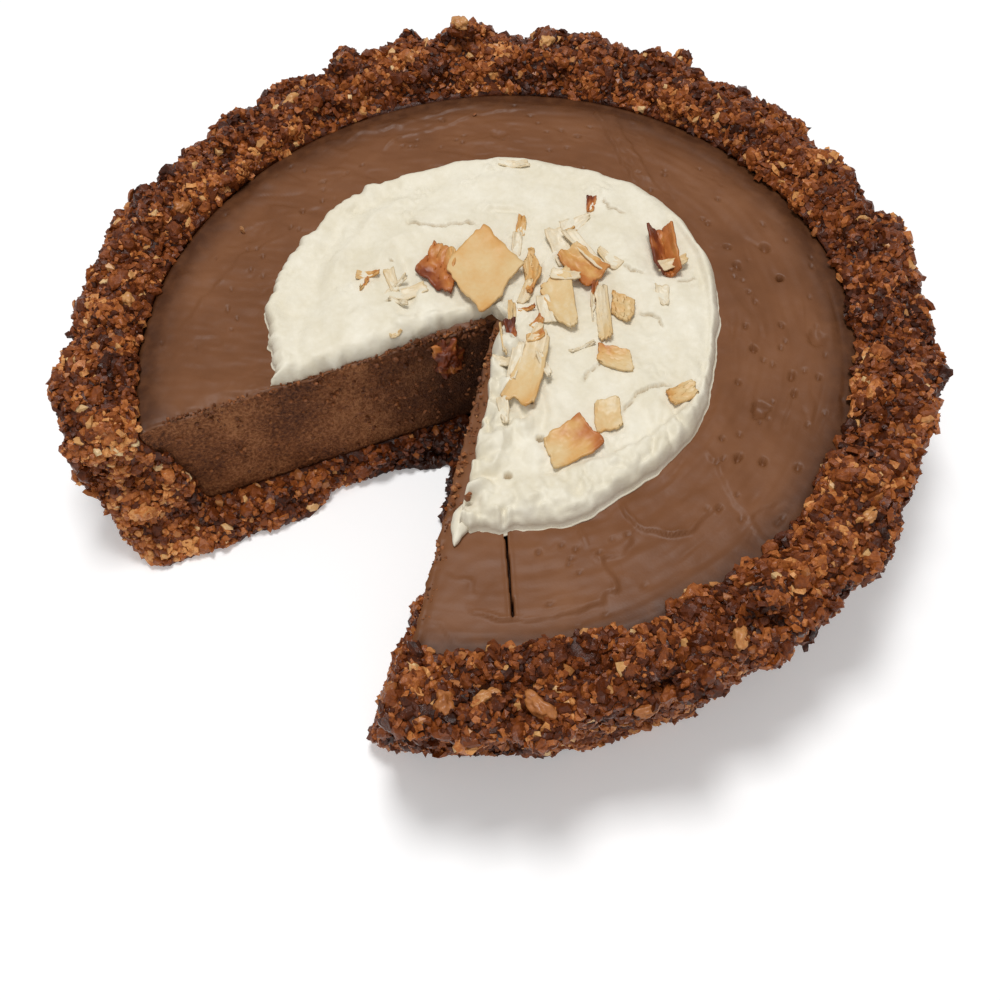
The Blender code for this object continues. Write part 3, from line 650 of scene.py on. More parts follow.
# The filling's surface, in mm. Waves are given by height, size and seed. A fold
# is where one stroke of the spatula ended over another: its line, and how high
# its left side stands.
fillingLook = dict(
    columns=640, rows=128, drops=34, fineDrops=3,
    innerReach=50 * mm, innerRows=0.34,
    bottom=9.8 * mm,
    wall=((9.8, 12, 38, 43.6, 45), (87.6, 90.4, 95.6, 96.7, 95.6)),   # heights, and the radius at each
    swell=(0.45, 27, 8), grain=(0.10, 3, 6),
    softStrokes=0.62, fineStrokes=0.32, softScores=0.34, fineScores=0.20,
    foldEdge=((1.1, 4, 14), (0.4, 1.6, 13)), foldRise=0.75, foldLip=0.80, foldDip=0.12,
    pitEdge=(0.45, 1.6, 17), pitDepth=1.5,
    rimStart=90 * mm, rimEnd=96 * mm, rimDrop=0.7,
    cutRough=((0.50, 6, 21), (0.55, 2.4, 22)), cutLean=0.3, cutEdge=(0.6, 1.7, 25), cutEdgeDrop=0.45,
    folds=(
        (((57, -20), (64, -22.5), (68, -22.5), (72, -20.2), (75, -17.8), (78, -17)), 0.65),
        (((53.5, -31.5), (58.8, -34.8), (64, -35), (68.1, -31.8), (65, -22)), 0.5),
        (((54.2, -32.3), (65, -36), (71, -38), (72.6, -40), (71, -42.4), (72.5, -44.4), (70, -47.5),
          (65, -55), (61.6, -59), (58, -62), (53.5, -64.2), (50.3, -66), (45, -65)), -0.65),
        (((63.7, 5.8), (70.3, 3.4), (77, -0.5), (85.4, -4.5), (86.5, 1), (91, 7.4)), 0.55),
        (((66, -22), (70.3, -21.8), (77.2, -16.6), (77, -10.6), (78.5, -4)), 0.5),
        (((-36, 87), (-20, 77.4), (-3, 68)), 0.6),
        (((-33, 88.5), (-19, 79.5), (-1, 69.5)), 0.35),
        (((-31, 90), (-17, 81.5), (2, 71)), -0.5),
        (((-26, 91), (-13, 83.5), (6, 72)), 0.3),
        (((-84, 25), (-84, 34), (-76, 44), (-68, 59), (-60, 70)), 0.45),
        (((-73, 29), (-73, 40), (-66, 51), (-60, 64), (-48, 76)), 0.4),
        (((-83, -18), (-79, -8), (-69, 8)), 0.35),
        (((-68, -55), (-73.4, -33), (-75, -22), (-70, -4)), -0.35),
        (((38, -62), (44, -60), (49, -62.5)), -0.3),
        (((41, -77), (46, -73), (53, -75)), 0.3),
    ),
    # pits: x, y, radius, depth
    pits=(
        (-0.2, 76.8, 1.0, 0.9), (20.8, 68.8, 1.0, 0.8), (38.6, 71.1, 1.6, 1.1), (41.7, 76.5, 0.8, 0.7),
        (30.6, 64.8, 1.2, 0.9), (36.6, 60.5, 1.7, 0.9), (48.0, 64.5, 1.3, 2.2), (44.6, 54.5, 0.8, 0.7),
        (47.7, 52.9, 0.9, 0.8), (57.5, 51.1, 1.0, 1.0), (50.5, 44.4, 0.8, 0.8), (56.4, 39.7, 1.2, 1.3),
        (61.5, 47.0, 0.8, 0.8), (67.3, 52.7, 3.2, 0.8), (60.6, 38.2, 0.8, 0.6), (63.2, 38.6, 0.8, 0.7),
        (69.1, 38.5, 1.5, 1.1), (74.8, 42.3, 0.9, 1.3), (70.9, 41.8, 0.8, 0.6), (59.7, 27.9, 0.8, 0.9),
        (72.8, 34.0, 1.1, 1.1), (69.0, 24.3, 3.0, 1.2), (73.3, 8.7, 1.4, 1.0), (78.6, 11.6, 1.2, 1.3),
        (70.1, 4.2, 0.9, 1.0), (86.2, 15.7, 1.1, 0.9), (69.4, 14.7, 0.8, 0.6), (81.0, 28.0, 0.8, 0.6),
        (-72.0, -5.9, 0.9, 0.9), (-74.0, 0.7, 1.0, 1.0), (-70.3, -18.8, 0.8, 0.8), (-72.8, 7.5, 0.8, 0.7),
        (-56.1, 50.7, 0.9, 0.9), (-36.0, 72.9, 0.8, 0.7), (-49.4, 59.9, 2.6, 0.5),
    ),
    pinholes=90, pinholeSeed=11,
    slitStart=(34.2, -36.2), slitEnd=(58.9, -61.2), slitHalfWidth=(0.32, 0.22), slitDepth=6.5,
    slitLip=0.28, slitColumns=(0.76, 0.055),   # how far the mesh's columns draw together at the slit
    cutFoot={-1: 2.5 * mm, 1: 4.5 * mm},   # how far each cut face leans out at its foot
)


# all the pits: the ones above, drawn out round the pie, and fine pinholes between them
def allPits():
    rng = np.random.default_rng(fillingLook["pinholeSeed"])
    pits = [(*pit, rng.uniform(1.0, 1.9)) for pit in fillingLook["pits"]]
    for number in range(fillingLook["pinholes"]):
        angle, radius = rng.uniform(-0.75, 3.9), rng.uniform(66, 93)
        pits.append((radius * math.cos(angle), radius * math.sin(angle), rng.uniform(0.5, 0.8),
                     rng.uniform(0.5, 1.0), rng.uniform(1.0, 2.6)))
    return pits


# how far the filling's top stands above or below its mean height, in mm
def fillingHeight(points):
    look = fillingLook
    polar = np.arctan2(points[:, 1], points[:, 0])
    radius = np.linalg.norm(points[:, :2], axis=1)
    right = smooth(-0.35, 0.35, np.cos(polar - 0.35))
    # coordinates that run with the strokes: round the pie at the right, across it elsewhere
    rounds = np.stack([radius, 14 * mm * np.cos(polar), 14 * mm * np.sin(polar)], 1)
    strokes = np.stack([points[:, 0] * 0.36 + points[:, 1] * 0.10,
                        points[:, 1] - 0.55 * points[:, 0], points[:, 2]], 1)
    height = waves(points, look["swell"])
    # the front was left smooth
    calm = 0.3 + 0.7 * smooth(-1.05, -0.45, polar) + 0.7 * smooth(-1.5, -2.2, polar)
    for lines, weight in ((rounds, calm * right), (strokes, calm * (1 - right))):
        soft = noiseAt(lines, 7 * mm, 2)
        fine = noiseAt(lines, 2.2 * mm, 4)
        height += weight * (look["softStrokes"] * soft + look["fineStrokes"] * fine)
        scored = 1 - smooth(0, 0.10, np.abs(soft + 0.15))
        height -= weight * look["softScores"] * scored * smooth(-0.1, 0.5, noiseAt(points, 14 * mm, 19))
        scored = 1 - smooth(0, 0.14, np.abs(fine))
        height -= weight * look["fineScores"] * scored * smooth(-0.1, 0.5, noiseAt(points, 11 * mm, 23))
    height += waves(points, look["grain"])
    ragged = waves(points, *look["foldEdge"])
    broken = smooth(-0.3, 0.3, noiseAt(points, 5 * mm, 15))
    for line, step in look["folds"]:
        signed, fade = toLine(points, line)
        over = signed * np.sign(step) + ragged
        rise = smooth(-0.35, 0.25, over) * trailing(over, 6)
        lip = bell(over, 0.35, 0.42) * broken
        dip = bell(over, -1.0, 0.9)
        formed = look["foldRise"] * rise + look["foldLip"] * lip - look["foldDip"] * dip
        height += abs(step) * fade * formed
    flat = points[:, :2] / mm
    wander = 1 + waves(points, look["pitEdge"])
    for x, y, size, depth, stretch in allPits():
        near = np.nonzero(np.abs(flat - (x, y)).max(axis=1) < size * 3)[0]
        outward = np.array((x, y)) / math.hypot(x, y)
        offset = flat[near] - (x, y)
        across = offset @ outward * math.sqrt(stretch)
        run = (offset[:, 0] * -outward[1] + offset[:, 1] * outward[0]) / math.sqrt(stretch)
        gap = np.hypot(across, run) / size * wander[near]
        height[near] -= look["pitDepth"] * depth * np.clip(1 - (gap * 1.15) ** 2, 0, 1) ** 0.7
    rim = smooth(look["rimStart"], look["rimEnd"], radius)
    return height * (1 - rim) - look["rimDrop"] * rim


def makeFilling(material):
    look = fillingLook
    mesh, around, outward, down = fan("fillingTop", look)
    angle = fanAngle(around)
    start, end = np.array(look["slitStart"]), np.array(look["slitEnd"])
    middle = (start + end) / 2 * mm - np.array(pie["cutPoint"].xy)
    slitAngle = math.atan2(middle[1], middle[0])   # the slit lies along a ray from the point
    offset = angle - slitAngle
    drawn, spread = look["slitColumns"]
    angle = slitAngle + offset * (1 - drawn * bell(offset, 0, spread))
    height = pie["fillingTop"] + (look["bottom"] - pie["fillingTop"]) * down
    radius = np.interp(height, *(np.array(look["wall"]) * mm))
    edge = reachTo(radius, Vector((0, 0, 0)), angle)
    inner = look["innerReach"] * outward / look["innerRows"]
    share = (outward - look["innerRows"]) / (1 - look["innerRows"])
    outer = look["innerReach"] + (edge - look["innerReach"]) * share
    points = fromPoint(np.where(outward < look["innerRows"], inner, outer), angle, height)
    top = down < 1e-6
    points[top, 2] += fillingHeight(points[top]) * mm
    along = (end - start) / np.linalg.norm(end - start)
    local = points[:, :2] / mm - start
    across = np.abs(local[:, 0] * along[1] - local[:, 1] * along[0])
    run = (local @ along) / np.linalg.norm(end - start)
    inSlit = smooth(-0.01, 0.02, run) * smooth(0, 0.04, 1 - run)
    cut = (across < np.interp(run, (0, 1), look["slitHalfWidth"])) & (inSlit > 0.5) & top
    points[cut, 2] -= look["slitDepth"] * mm
    lips = look["slitLip"] * mm * bell(across, 0.8, 0.4) * inSlit
    points[top & ~cut, 2] += lips[top & ~cut]
    for side, foot in look["cutFoot"].items():
        out = np.array(cutFrame(side)[1])
        onCut = (around < 1e-6) if side < 0 else (around > 1 - 1e-6)
        lean = look["cutLean"] * mm + foot * (1 - height / pie["fillingTop"])
        rough = waves(points[onCut], *look["cutRough"])
        amount = lean[onCut] + rough * mm * smooth(look["bottom"], 14 * mm, height[onCut])
        points[onCut] += out * amount[:, None]
        near = bell(cutDepth(points, side), 0.6 * mm, 1.1 * mm) * top
        near *= (around < 0.5) if side < 0 else (around > 0.5)
        points[:, 2] += near * mm * (waves(points, look["cutEdge"]) - look["cutEdgeDrop"])
    points[~top, 2] = np.maximum(points[~top, 2], look["bottom"])
    setCoordinates(mesh, points)
    onFace = (around < 1e-6) | (around > 1 - 1e-6)
    reach = np.linalg.norm(points[:, :2] - np.array(pie["cutPoint"].xy), axis=1)
    storeValues(mesh, "cutFace", (down > 1e-6) & onFace)
    # painted shade: the cut faces darken towards the slice's point, and the top darkens near the crust wall
    storeValues(mesh, "shaded", np.where(onFace, 1 - smooth(10 * mm, 44 * mm, reach),
                                         smooth(84 * mm, 95 * mm, np.linalg.norm(points[:, :2], axis=1))))
    # the slit's floor, kept for the painted shade inside the slit
    storeValues(mesh, "inSlit", cut)
    return addPiece("chocolateFilling", mesh, material, ["filling"])


# Crumbs torn loose by the knife: the cut, how many, from and to along it, across
# its plane and in height, half length in mm, and tone
knifeCrumbs = (
    (-1, 430, (3, 92), (-0.2, 0.5), (12, 44.5), (0.25, 0.8), (0.2, 0.75)),
    (-1, 240, (4, 93), (-0.9, 0.4), (44.3, 45.2), (0.25, 0.6), (0.2, 0.75)),
    (-1, 110, (2, 30), (-1.2, 0.6), (38, 46.0), (0.4, 1.2), (0.05, 0.5)),
    (1, 330, (3, 92), (-3.0, 0.4), (44.2, 45.2), (0.2, 0.55), (0.1, 0.8)),
    (1, 230, (2, 92), (-0.2, 0.8), (15, 44.8), (0.25, 0.7), (0.05, 0.7)),
    (1, 26, (4, 60), (-2.4, 0.6), (44, 46.0), (0.4, 1.0), (0.3, 0.8)),
)

# Loose crumbs on top: x, y and height in mm, half length, tone
looseCrumbs = (
    (-82.2, -15.4, 45.6, 1.1, 0.85), (92.1, -17.1, 45.4, 1.3, 0.9), (90.9, 19.5, 45.1, 0.7, 1.0),
    (31.3, -45.3, 51.2, 1.3, 0.55), (30.6, -43.8, 50.9, 0.8, 0.7), (-61.0, 62.0, 45.4, 0.6, 0.6),
)


def makeKnifeCrumbs(material):
    rng = np.random.default_rng(29)
    places, radii, tones = [], [], []
    for side, count, reaches, offsets, heights, sizes, shades in knifeCrumbs:
        along, out = cutFrame(side)
        foot = fillingLook["cutFoot"][side] / mm
        for number in range(count):
            height = rng.uniform(*heights)
            across = rng.uniform(*offsets) + foot * (1 - min(height, 45) / 45)
            place = pie["cutPoint"] + (along * rng.uniform(*reaches) + out * across) * mm
            places.append((place.x, place.y, height * mm))
            radii.append(rng.uniform(*sizes) * mm)
            tones.append(rng.uniform(*shades))
    for x, y, height, size, tone in looseCrumbs:
        places.append((x * mm, y * mm, height * mm))
        radii.append(size * mm)
        tones.append(tone)
    places, radii, tones = np.array(places), np.array(radii), np.array(tones)
    turns = turnsOnto(np.tile((0.0, 0.0, 1.0), (len(places), 1)), 0.8, rng)
    mesh = joined("knifeCrumbs", crumbShapes("crumb", rng), places, turns, radii, tones, rng)
    return addPiece("knifeCrumbs", mesh, material, faceted=True)


creamLook = dict(
    columns=620, rows=124, drops=7, fineDrops=7,
    bottom=-0.7,   # mm above the filling's mean height
    thickness=4.7,
    # waves by height, size and seed
    swell=(0.90, 17, 5), strokes=(0.75, 5, 6), lumps=((0.38, 4, 9), (0.16, 1.7, 7)),
    edge=(0.8, 9, 31), serration=((1.3, 4, 32), (0.5, 1.6, 30)),
    heapEdge=(0.40, 3, 37), crackEdge=((0.7, 3, 43), (0.45, 1.2, 44)),
    # peaks beside the cut and lumps along the front edge: coarse and fine waves, and their base
    whipped=((7.5, 7, 15), (1.8, 2.6, 16), 0.8), frontLumps=((2.8, 5.5, 27), (0.6, 2, 28), 0.3),
    ripples=0.40, torn=(1.2, 0.2), crackLip=0.35,
    # the crease inside the raised edge, from the back round to the right cut
    crease=((2.7, 60), (14.3, 60.5), (27.2, 54.5), (36.2, 46.5), (44.9, 36), (51.5, 25.3), (55, 17.4),
            (55.8, 8.6), (53.4, -4.4), (49.3, -14.3), (44.3, -23.5), (40, -31)),
    creaseHeight=1.1, creaseDip=0.35, creaseRough=0.25,
    # soft grooves: line, half width, depth
    grooves=(
        (((-44, 36), (-55, 11.4), (-56, 0.3), (-50.1, -14.9), (-43, -28), (-36, -38)), 3.2, 1.0),
        (((-40, 30), (-48, 8), (-46, -6), (-38, -22)), 2.6, 0.6),
        (((-29, 29), (-26.9, 32.4), (-21.6, 35.6), (-17, 36)), 0.9, 0.7),
        (((-20, -16), (-26, -4), (-33, 2), (-38, 3)), 1.6, 0.6),
        (((39, -41), (43.6, -46.4)), 0.7, 1.7),
        (((22, -8), (29, -13), (33, -20)), 1.4, 1.0),
        (((37, -27), (45, -25), (52, -27)), 1.5, 0.7),
    ),
    # cracks: line, half width, depth
    cracks=(
        (((-44.5, 12.5), (-41.6, 14.2), (-36.9, 16.0), (-33.9, 19.0), (-30.2, 23.1), (-25.6, 24.8)),
         0.45, 0.9),
        (((26.7, 27.6), (30.3, 28.4), (32.9, 29.1), (35.8, 26.6)), 0.36, 1.3),
        (((30.9, -0.0), (29.6, 3.6), (30.5, 7.2), (29.6, 10.2)), 0.34, 1.1),
        (((43.4, -2), (43.8, 2.5), (43.4, 6.0), (44.8, 9.1), (46.9, 12.4), (49.5, 14.5)), 0.38, 1.3),
        (((14.0, 37.7), (17.1, 38.0), (20.5, 39.9)), 0.34, 1.0),
        (((29.1, 42.0), (32.5, 47)), 0.34, 0.7),
        (((-6, 55), (-2, 52), (4, 53)), 0.34, 0.5),
    ),
    # small holes: x, y, radius, depth
    holes=((33.4, -20.4, 1.1, 3.4), (34.2, -33.8, 1.2, 2.4), (-37.1, 0.2, 0.6, 1.2),
           (-27.5, -11.2, 0.6, 1.4), (-15.4, -14.1, 0.7, 1.2), (24.4, -13.0, 0.8, 1.5),
           (9.0, -2.0, 0.9, 1.5)),
    # soft heaps beside the cut and at the point: x, y, radius, height
    heaps=((17, -14.5, 4.5, 2.3), (22.5, -20.5, 3.8, 2.0), (25.5, -27, 4.2, 2.4), (30, -33.5, 3.6, 1.8),
           (32.5, -40.5, 4.0, 2.2), (41, -33, 4.5, 1.4), (47, -29.5, 4.0, 1.0), (28, -20, 3.0, 1.4),
           (10, -3, 3.8, 1.6), (-8, -3, 3.4, 1.3), (-2.4, 5, 2.8, 1.0), (-14, -7.2, 2.8, 1.0),
           (-20, -14, 3.0, 0.8), (36, -25, 3.5, 1.0), (37.5, -39, 3.0, 1.0), (-30, -20, 3.4, 0.7)),
    # ridges pulled up by the spatula: line, half width, height
    ridges=(
        (((18.6, -10.7), (22, -14), (26.1, -16.8)), 1.2, 1.8),
        (((-50, 24), (-52, 10), (-50, -4), (-44, -18)), 1.6, 0.7),
        (((-36, 18), (-42, 6), (-38, -8)), 1.3, 0.5),
        (((-24, -2), (-20, -8), (-17, -13)), 1.2, 0.9),
        (((24, -24), (28, -28), (31, -36)), 1.0, 1.0),
    ),
)


# the spread's outline round its own centre, as the CAD has it
def creamEdge(angle):
    turned = (angle + math.pi) % math.tau - math.pi
    flats = -3.2 * bell(turned, math.radians(37), 0.33)
    flats -= 2.4 * bell(turned, math.radians(-131), 0.30)
    bumps = 0.9 * np.cos(3 * (turned - math.radians(75))) + 0.5 * np.sin(9 * turned + 0.6)
    return pie["creamRadius"] + (flats + bumps) * mm


# the reach of that outline from the slice's point, and the point of it each way
def creamRim(angle):
    centre = pie["creamCentre"]
    own = angle
    for step in range(6):
        edge = reachTo(creamEdge(own), centre, angle)
        rim = fromPoint(edge, angle, np.zeros(len(angle)))
        own = np.arctan2(rim[:, 1] - centre.y, rim[:, 0] - centre.x)
    serrated = 0.35 + smooth(-0.1, 0.5, -np.sin(own + 0.6))
    uneven = waves(rim, creamLook["edge"]) + waves(rim, *creamLook["serration"]) * serrated
    return edge + uneven * mm, rim


# sharp lumps of one size with finer waves on them, above a base
def peaks(points, coarse, fine, base):
    height, size, seed = coarse
    return height * np.abs(noiseAt(points, size * mm, seed)) + waves(points, fine) - base


# how far the cream stands above the filling's mean height in mm, and how much painted shade its cracks and
# holes get
def creamHeight(points, rim, inset, gaps):
    look = creamLook
    nearest = np.minimum(inset, np.minimum(gaps[-1] * 0.95, gaps[1] * 1.5))
    profile = np.sqrt(1 - (1 - np.clip(nearest / (4 * mm), 0, 1)) ** 2.4)
    calm = smooth(0.5 * mm, 5 * mm, nearest)
    height = look["thickness"] * profile + 0.3
    lines = np.stack([points[:, 0] * 0.55 + points[:, 1] * 0.8,
                      (points[:, 1] * 0.55 - points[:, 0] * 0.8) * 0.35, points[:, 2]], 1)
    height += calm * (waves(points, look["swell"]) + waves(lines, look["strokes"]))
    height += calm * waves(points, *look["lumps"])
    signed, fade = toLine(points, look["crease"])
    band = smooth(-0.9, 0.9, signed) * trailing(signed, 9) * fade
    height += look["creaseHeight"] * band * smooth(0, 2.0 * mm, inset)
    height -= look["creaseDip"] * fade * bell(signed, -1.2, 1.2)
    height += look["creaseRough"] * band * noiseAt(rim, 1.5 * mm, 33)
    for line, half, depth in look["grooves"]:
        signed, fade = toLine(points, line)
        height -= depth * fade * profile * bell(signed, 0, half)
        height += 0.3 * depth * fade * profile * bell(np.abs(signed), 2.2 * half, half)
    for line, half, rise in look["ridges"]:
        signed, fade = toLine(points, line)
        height += rise * fade * profile * np.exp(-np.abs(signed / half) ** 1.3)
    flat = points[:, :2] / mm
    uneven = 1 + waves(points, look["heapEdge"])
    for x, y, size, rise in look["heaps"]:
        gap = np.linalg.norm(flat - (x, y), axis=1) / size * uneven
        height += rise * np.clip(1 - gap ** 2, 0, 1) ** 1.2 * profile
    whipped = bell(gaps[1], 0, 11 * mm) * smooth(6 * mm, 16 * mm, gaps["reach"]) * profile
    height += whipped * peaks(points, *look["whipped"])
    front = smooth(14 * mm, 3 * mm, inset) * smooth(10, 45, flat[:, 0] - flat[:, 1]) * profile
    height += front * peaks(points, *look["frontLumps"])
    left = smooth(22 * mm, 4 * mm, inset) * smooth(0, 30, -flat[:, 0]) * profile
    height += left * look["ripples"] * np.sin(inset / (1.5 * mm) + 3 * noiseAt(points, 12 * mm, 29))
    torn = smooth(0.1, 0.5, noiseAt(points, 8 * mm, 38)) * profile * calm
    rise, base = look["torn"]
    height += torn * (rise * np.abs(noiseAt(points, 2.4 * mm, 39)) - base)
    crackPaintedShade = np.zeros(len(points))
    wander = waves(points, *look["crackEdge"])
    for line, half, depth in look["cracks"]:
        signed, fade = toLine(points, line)
        line = fade * bell(signed + wander, 0, half * 0.7)
        height -= depth * line
        height += look["crackLip"] * fade * smooth(0, 0.5, signed + wander) * trailing(signed + wander, 3)
        crackPaintedShade = np.maximum(crackPaintedShade, line * 0.8)
    for x, y, size, depth in look["holes"]:
        gap = np.linalg.norm(flat - (x, y), axis=1) / size * uneven
        height -= depth * np.clip(1 - gap ** 2, 0, 1)
        crackPaintedShade = np.maximum(crackPaintedShade, np.clip(1 - gap ** 2, 0, 1))
    return np.maximum(height, 0.2), crackPaintedShade


def makeCream(material):
    look = creamLook
    mesh, around, outward, down = fan("cream", look)
    angle = fanAngle(around)
    edge, rim = creamRim(angle)
    reach = edge * (1 - (1 - outward) ** 1.25)
    points = fromPoint(reach, angle, np.zeros(len(reach)))
    nearPoint = 1 - smooth(18 * mm, 34 * mm, reach)
    drawn = {-1: (0.5 + 1.4 * nearPoint) * mm, 1: (3.8 - 1.5 * nearPoint) * mm}
    gaps = {"reach": reach}
    for side in (-1, 1):
        facing = (around < 0.5) if side < 0 else (around > 0.5)
        behind = cutDepth(points, side)
        gaps[side] = np.where(facing, behind, 1)
        soft = waves(points, (0.6, 2.2, 41), (1.2 if side > 0 else 0.5, 6, 42))
        shift = (drawn[side] + soft * mm) * np.exp(-behind / (6 * mm)) * facing
        points -= np.array(cutFrame(side)[1]) * shift[:, None]
    height, crackPaintedShade = creamHeight(points, rim, edge - reach, gaps)
    low = pie["fillingTop"] + look["bottom"] * mm
    points[:, 2] = low + (height - look["bottom"]) * mm * (1 - down)
    bulge = 0.5 * mm * np.sin(np.pi * down) * (outward > 0.999)
    points[:, 0] += bulge * np.cos(angle)
    points[:, 1] += bulge * np.sin(angle)
    setCoordinates(mesh, points)
    # painted shade for the cracks and holes, on the top only
    storeValues(mesh, "crackPaintedShade", crackPaintedShade * (down < 1e-6))
    return addPiece("spreadCream", mesh, material, ["cream"])


# the tongue of cream dragged out along the cut towards +X
def makeDrip(material):
    bm = bmesh.new()
    bmesh.ops.create_icosphere(bm, subdivisions=4, radius=1)
    for vert in bm.verts:
        point = vert.co * Vector((6.2, 2.3, 2.3))
        point.y *= 1 - 0.66 * max(vert.co.x, 0) ** 1.3
        point.z *= 1 - 0.35 * max(vert.co.x, 0)
        point += vert.normal * 0.35 * noise.noise(point / 2.2)
        vert.co = point * mm
    bmesh.ops.rotate(bm, matrix=Matrix.Rotation(math.radians(-62), 3, "Z"), verts=bm.verts)
    bmesh.ops.translate(bm, vec=Vector((32.6, -50.0, 46.2)) * mm, verts=bm.verts)
    return addPiece("creamDrip", meshFrom(bm, "creamDrip"), material)


# The coconut flakes. The larger ones stand for CAD nodes. Each lies between
# four corners, in mm, in order round it, each with its lift above the cream and
# how toasted it is; curl bends it along and across.
bigFlakes = dict(
    crumpled=dict(corners=((-28.5, 0.5), (-31.0, 11.5), (-23.0, 12.0), (-13.6, -0.4)),
                  lift=(0.6, 1.2, 2.2, 0.8), toast=(0.78, 0.40, 0.26, 0.72), curl=(1.2, 1.0), crumple=1.1),
    long=dict(corners=((1.5, 17.0), (4.2, 27.5), (19.5, 12.5), (13.0, 10.5)),
              lift=(0.4, 1.2, 1.0, 0.4), toast=(0.22, 0.16, 0.10, 0.12), curl=(0.9, 0.6), crumple=0.25),
    square=dict(corners=((-22.2, 5.2), (-23.2, 23.4), (-5.0, 19.4), (-3.6, 0.2)),
                lift=(0.8, 2.6, 1.6, 0.5), toast=(0.14, 0.34, 0.12, 0.26), curl=(0.5, 0.7), crumple=0.25),
    curl=dict(corners=((-7.0, 20.6), (-8.6, 26.4), (-0.6, 22.0), (2.4, 12.2)),
              lift=(0.6, 1.6, 1.8, 0.8), toast=(0.14, 0.20, 0.30, 0.42), curl=(1.6, 0.8), crumple=0.5),
    twin=dict(corners=((-1.2, 28.6), (0.6, 35.0), (12.9, 34.0), (12.2, 24.8)),
              lift=(1.6, 2.2, 1.2, 0.9), toast=(0.40, 0.12, 0.42, 0.50), curl=(1.2, 1.2), crumple=0.6),
    apex=dict(corners=((18.2, -18.0), (10.6, 5.8), (16.8, 4.4), (27.6, -15.2)),
              lift=(0.5, 1.4, 1.6, 0.8), toast=(0.18, 0.05, 0.05, 0.26), curl=(0.7, 0.9), crumple=0.35),
    ragged=dict(corners=((17.6, 28.9), (25.2, 29.4), (28.6, 22.6), (22.6, 21.8)),
                lift=(0.5, 1.3, 1.0, 0.4), toast=(0.26, 0.18, 0.14, 0.18), curl=(0.5, 0.6), crumple=0.6),
    strip=dict(corners=((14.2, 25.6), (17.0, 27.6), (29.0, 15.0), (26.0, 12.6)),
               lift=(1.4, 3.4, 3.0, 1.2), toast=(0.02, 0.04, 0.16, 0.12), curl=(1.0, 0.3), crumple=0.25),
    spotted=dict(corners=((26.4, 11.4), (33.9, 15.4), (39.8, 10.2), (30.4, 6.6)),
                 lift=(1.2, 0.8, 0.6, 0.5), toast=(0.48, 0.20, 0.08, 0.12), curl=(0.4, 0.5), crumple=0.3),
    outer=dict(corners=((48.8, 10.0), (52.0, 18.2), (56.2, 15.0), (53.4, 8.0)),
               lift=(1.3, 0.8, 0.6, 0.8), toast=(0.32, 0.12, 0.12, 0.24), curl=(0.5, 0.7), crumple=0.3),
    block=dict(corners=((37.0, -3.8), (40.9, 1.9), (47.2, -4.6), (43.3, -10.6)),
               lift=(1.3, 1.7, 0.8, 0.5), toast=(0.14, 0.08, 0.16, 0.24), curl=(0.3, 0.4), crumple=0.2),
    orange=dict(corners=((34.4, -20.6), (37.2, -9.8), (47.8, -12.4), (42.6, -25.4)),
                lift=(0.6, 2.6, 1.6, 0.5), toast=(0.16, 0.46, 0.50, 0.14), curl=(0.5, 0.9), crumple=0.25),
    rolled=dict(corners=((12.4, 50.5), (17.0, 56.4), (29.8, 44.0), (23.6, 40.2)),
                lift=(1.6, 1.2, 0.8, 0.6), toast=(0.85, 0.40, 0.50, 0.80), curl=(0.8, 3.2), crumple=1.0),
)

# Small flakes: x, y, length, width, turn in degrees, lift of one end, toast
smallFlakes = (
    (-6.6, 50.3, 5.6, 5.0, 130, 1.4, 0.55), (-16.8, 31.6, 7.0, 3.6, 120, 2.2, 0.22),
    (-5.6, 42.6, 9.0, 5.6, 70, 0.8, 0.00), (-5.9, 37.6, 6.5, 2.6, 60, 1.4, 0.16),
    (29.4, 36.4, 7.4, 6.2, 125, 0.5, 0.00), (-37.8, -8.0, 6.6, 3.0, 40, 1.2, 0.24),
    (-31.5, -5.1, 8.5, 3.8, 150, 0.9, 0.04), (-24.4, -4.6, 9.5, 4.6, 60, 0.8, 0.03),
    (-29.2, -5.9, 8.5, 1.3, 80, 2.6, 0.0), (-25.0, -9.5, 7.5, 1.8, 12, 1.6, 0.0),
    (-18.3, -17.7, 3.6, 2.2, 80, 0.3, 0.10), (6.6, 0.6, 5.6, 3.4, 140, 2.0, 0.80),
    (3.4, 4.4, 9.6, 4.4, 132, 2.4, 0.12), (7.4, -4.2, 9.0, 1.3, 140, 2.8, 0.10),
    (9.6, 7.4, 4.2, 3.0, 95, 1.2, 0.36), (14.6, 24.4, 8.0, 2.6, 128, 2.6, 0.42),
    (0.5, 13.8, 8.5, 4.6, 115, 0.9, 0.06), (-2.6, 31.6, 13.0, 6.0, 150, 2.4, 0.0),
    (5.5, 24.2, 9.5, 4.6, 20, 1.2, 0.03), (13.9, 1.6, 4.6, 3.0, 50, 1.2, 0.28),
    (3.6, 35.6, 16.0, 5.6, 165, 1.6, 0.0), (9.6, 37.4, 9.0, 4.2, 168, 0.8, 0.05),
    (24.5, 45.5, 9.0, 4.4, 60, 0.6, 0.08), (-34.6, 49.3, 9.4, 3.4, 38, 0.8, 0.02),
    (10.6, -8.6, 6.0, 3.4, 20, 0.9, 0.02), (20.6, -3.6, 9.0, 4.4, 150, 0.9, 0.0),
    (-13.0, 25.6, 9.0, 4.4, 130, 1.8, 0.0), (4.0, 9.0, 5.0, 1.2, 40, 2.2, 0.36),
    (17.6, 20.6, 7.5, 1.3, 128, 2.6, 0.0), (-36.2, -11.2, 4.4, 1.4, 100, 1.0, 0.30),
    (8.6, 12.6, 10.0, 5.2, 140, 1.0, 0.0), (14.6, -6.6, 12.0, 4.6, 118, 1.2, 0.0),
    (23.6, 8.6, 6.6, 1.4, 60, 1.6, 0.0), (21.8, -20.4, 7.6, 3.2, 135, 2.0, 0.0),
)
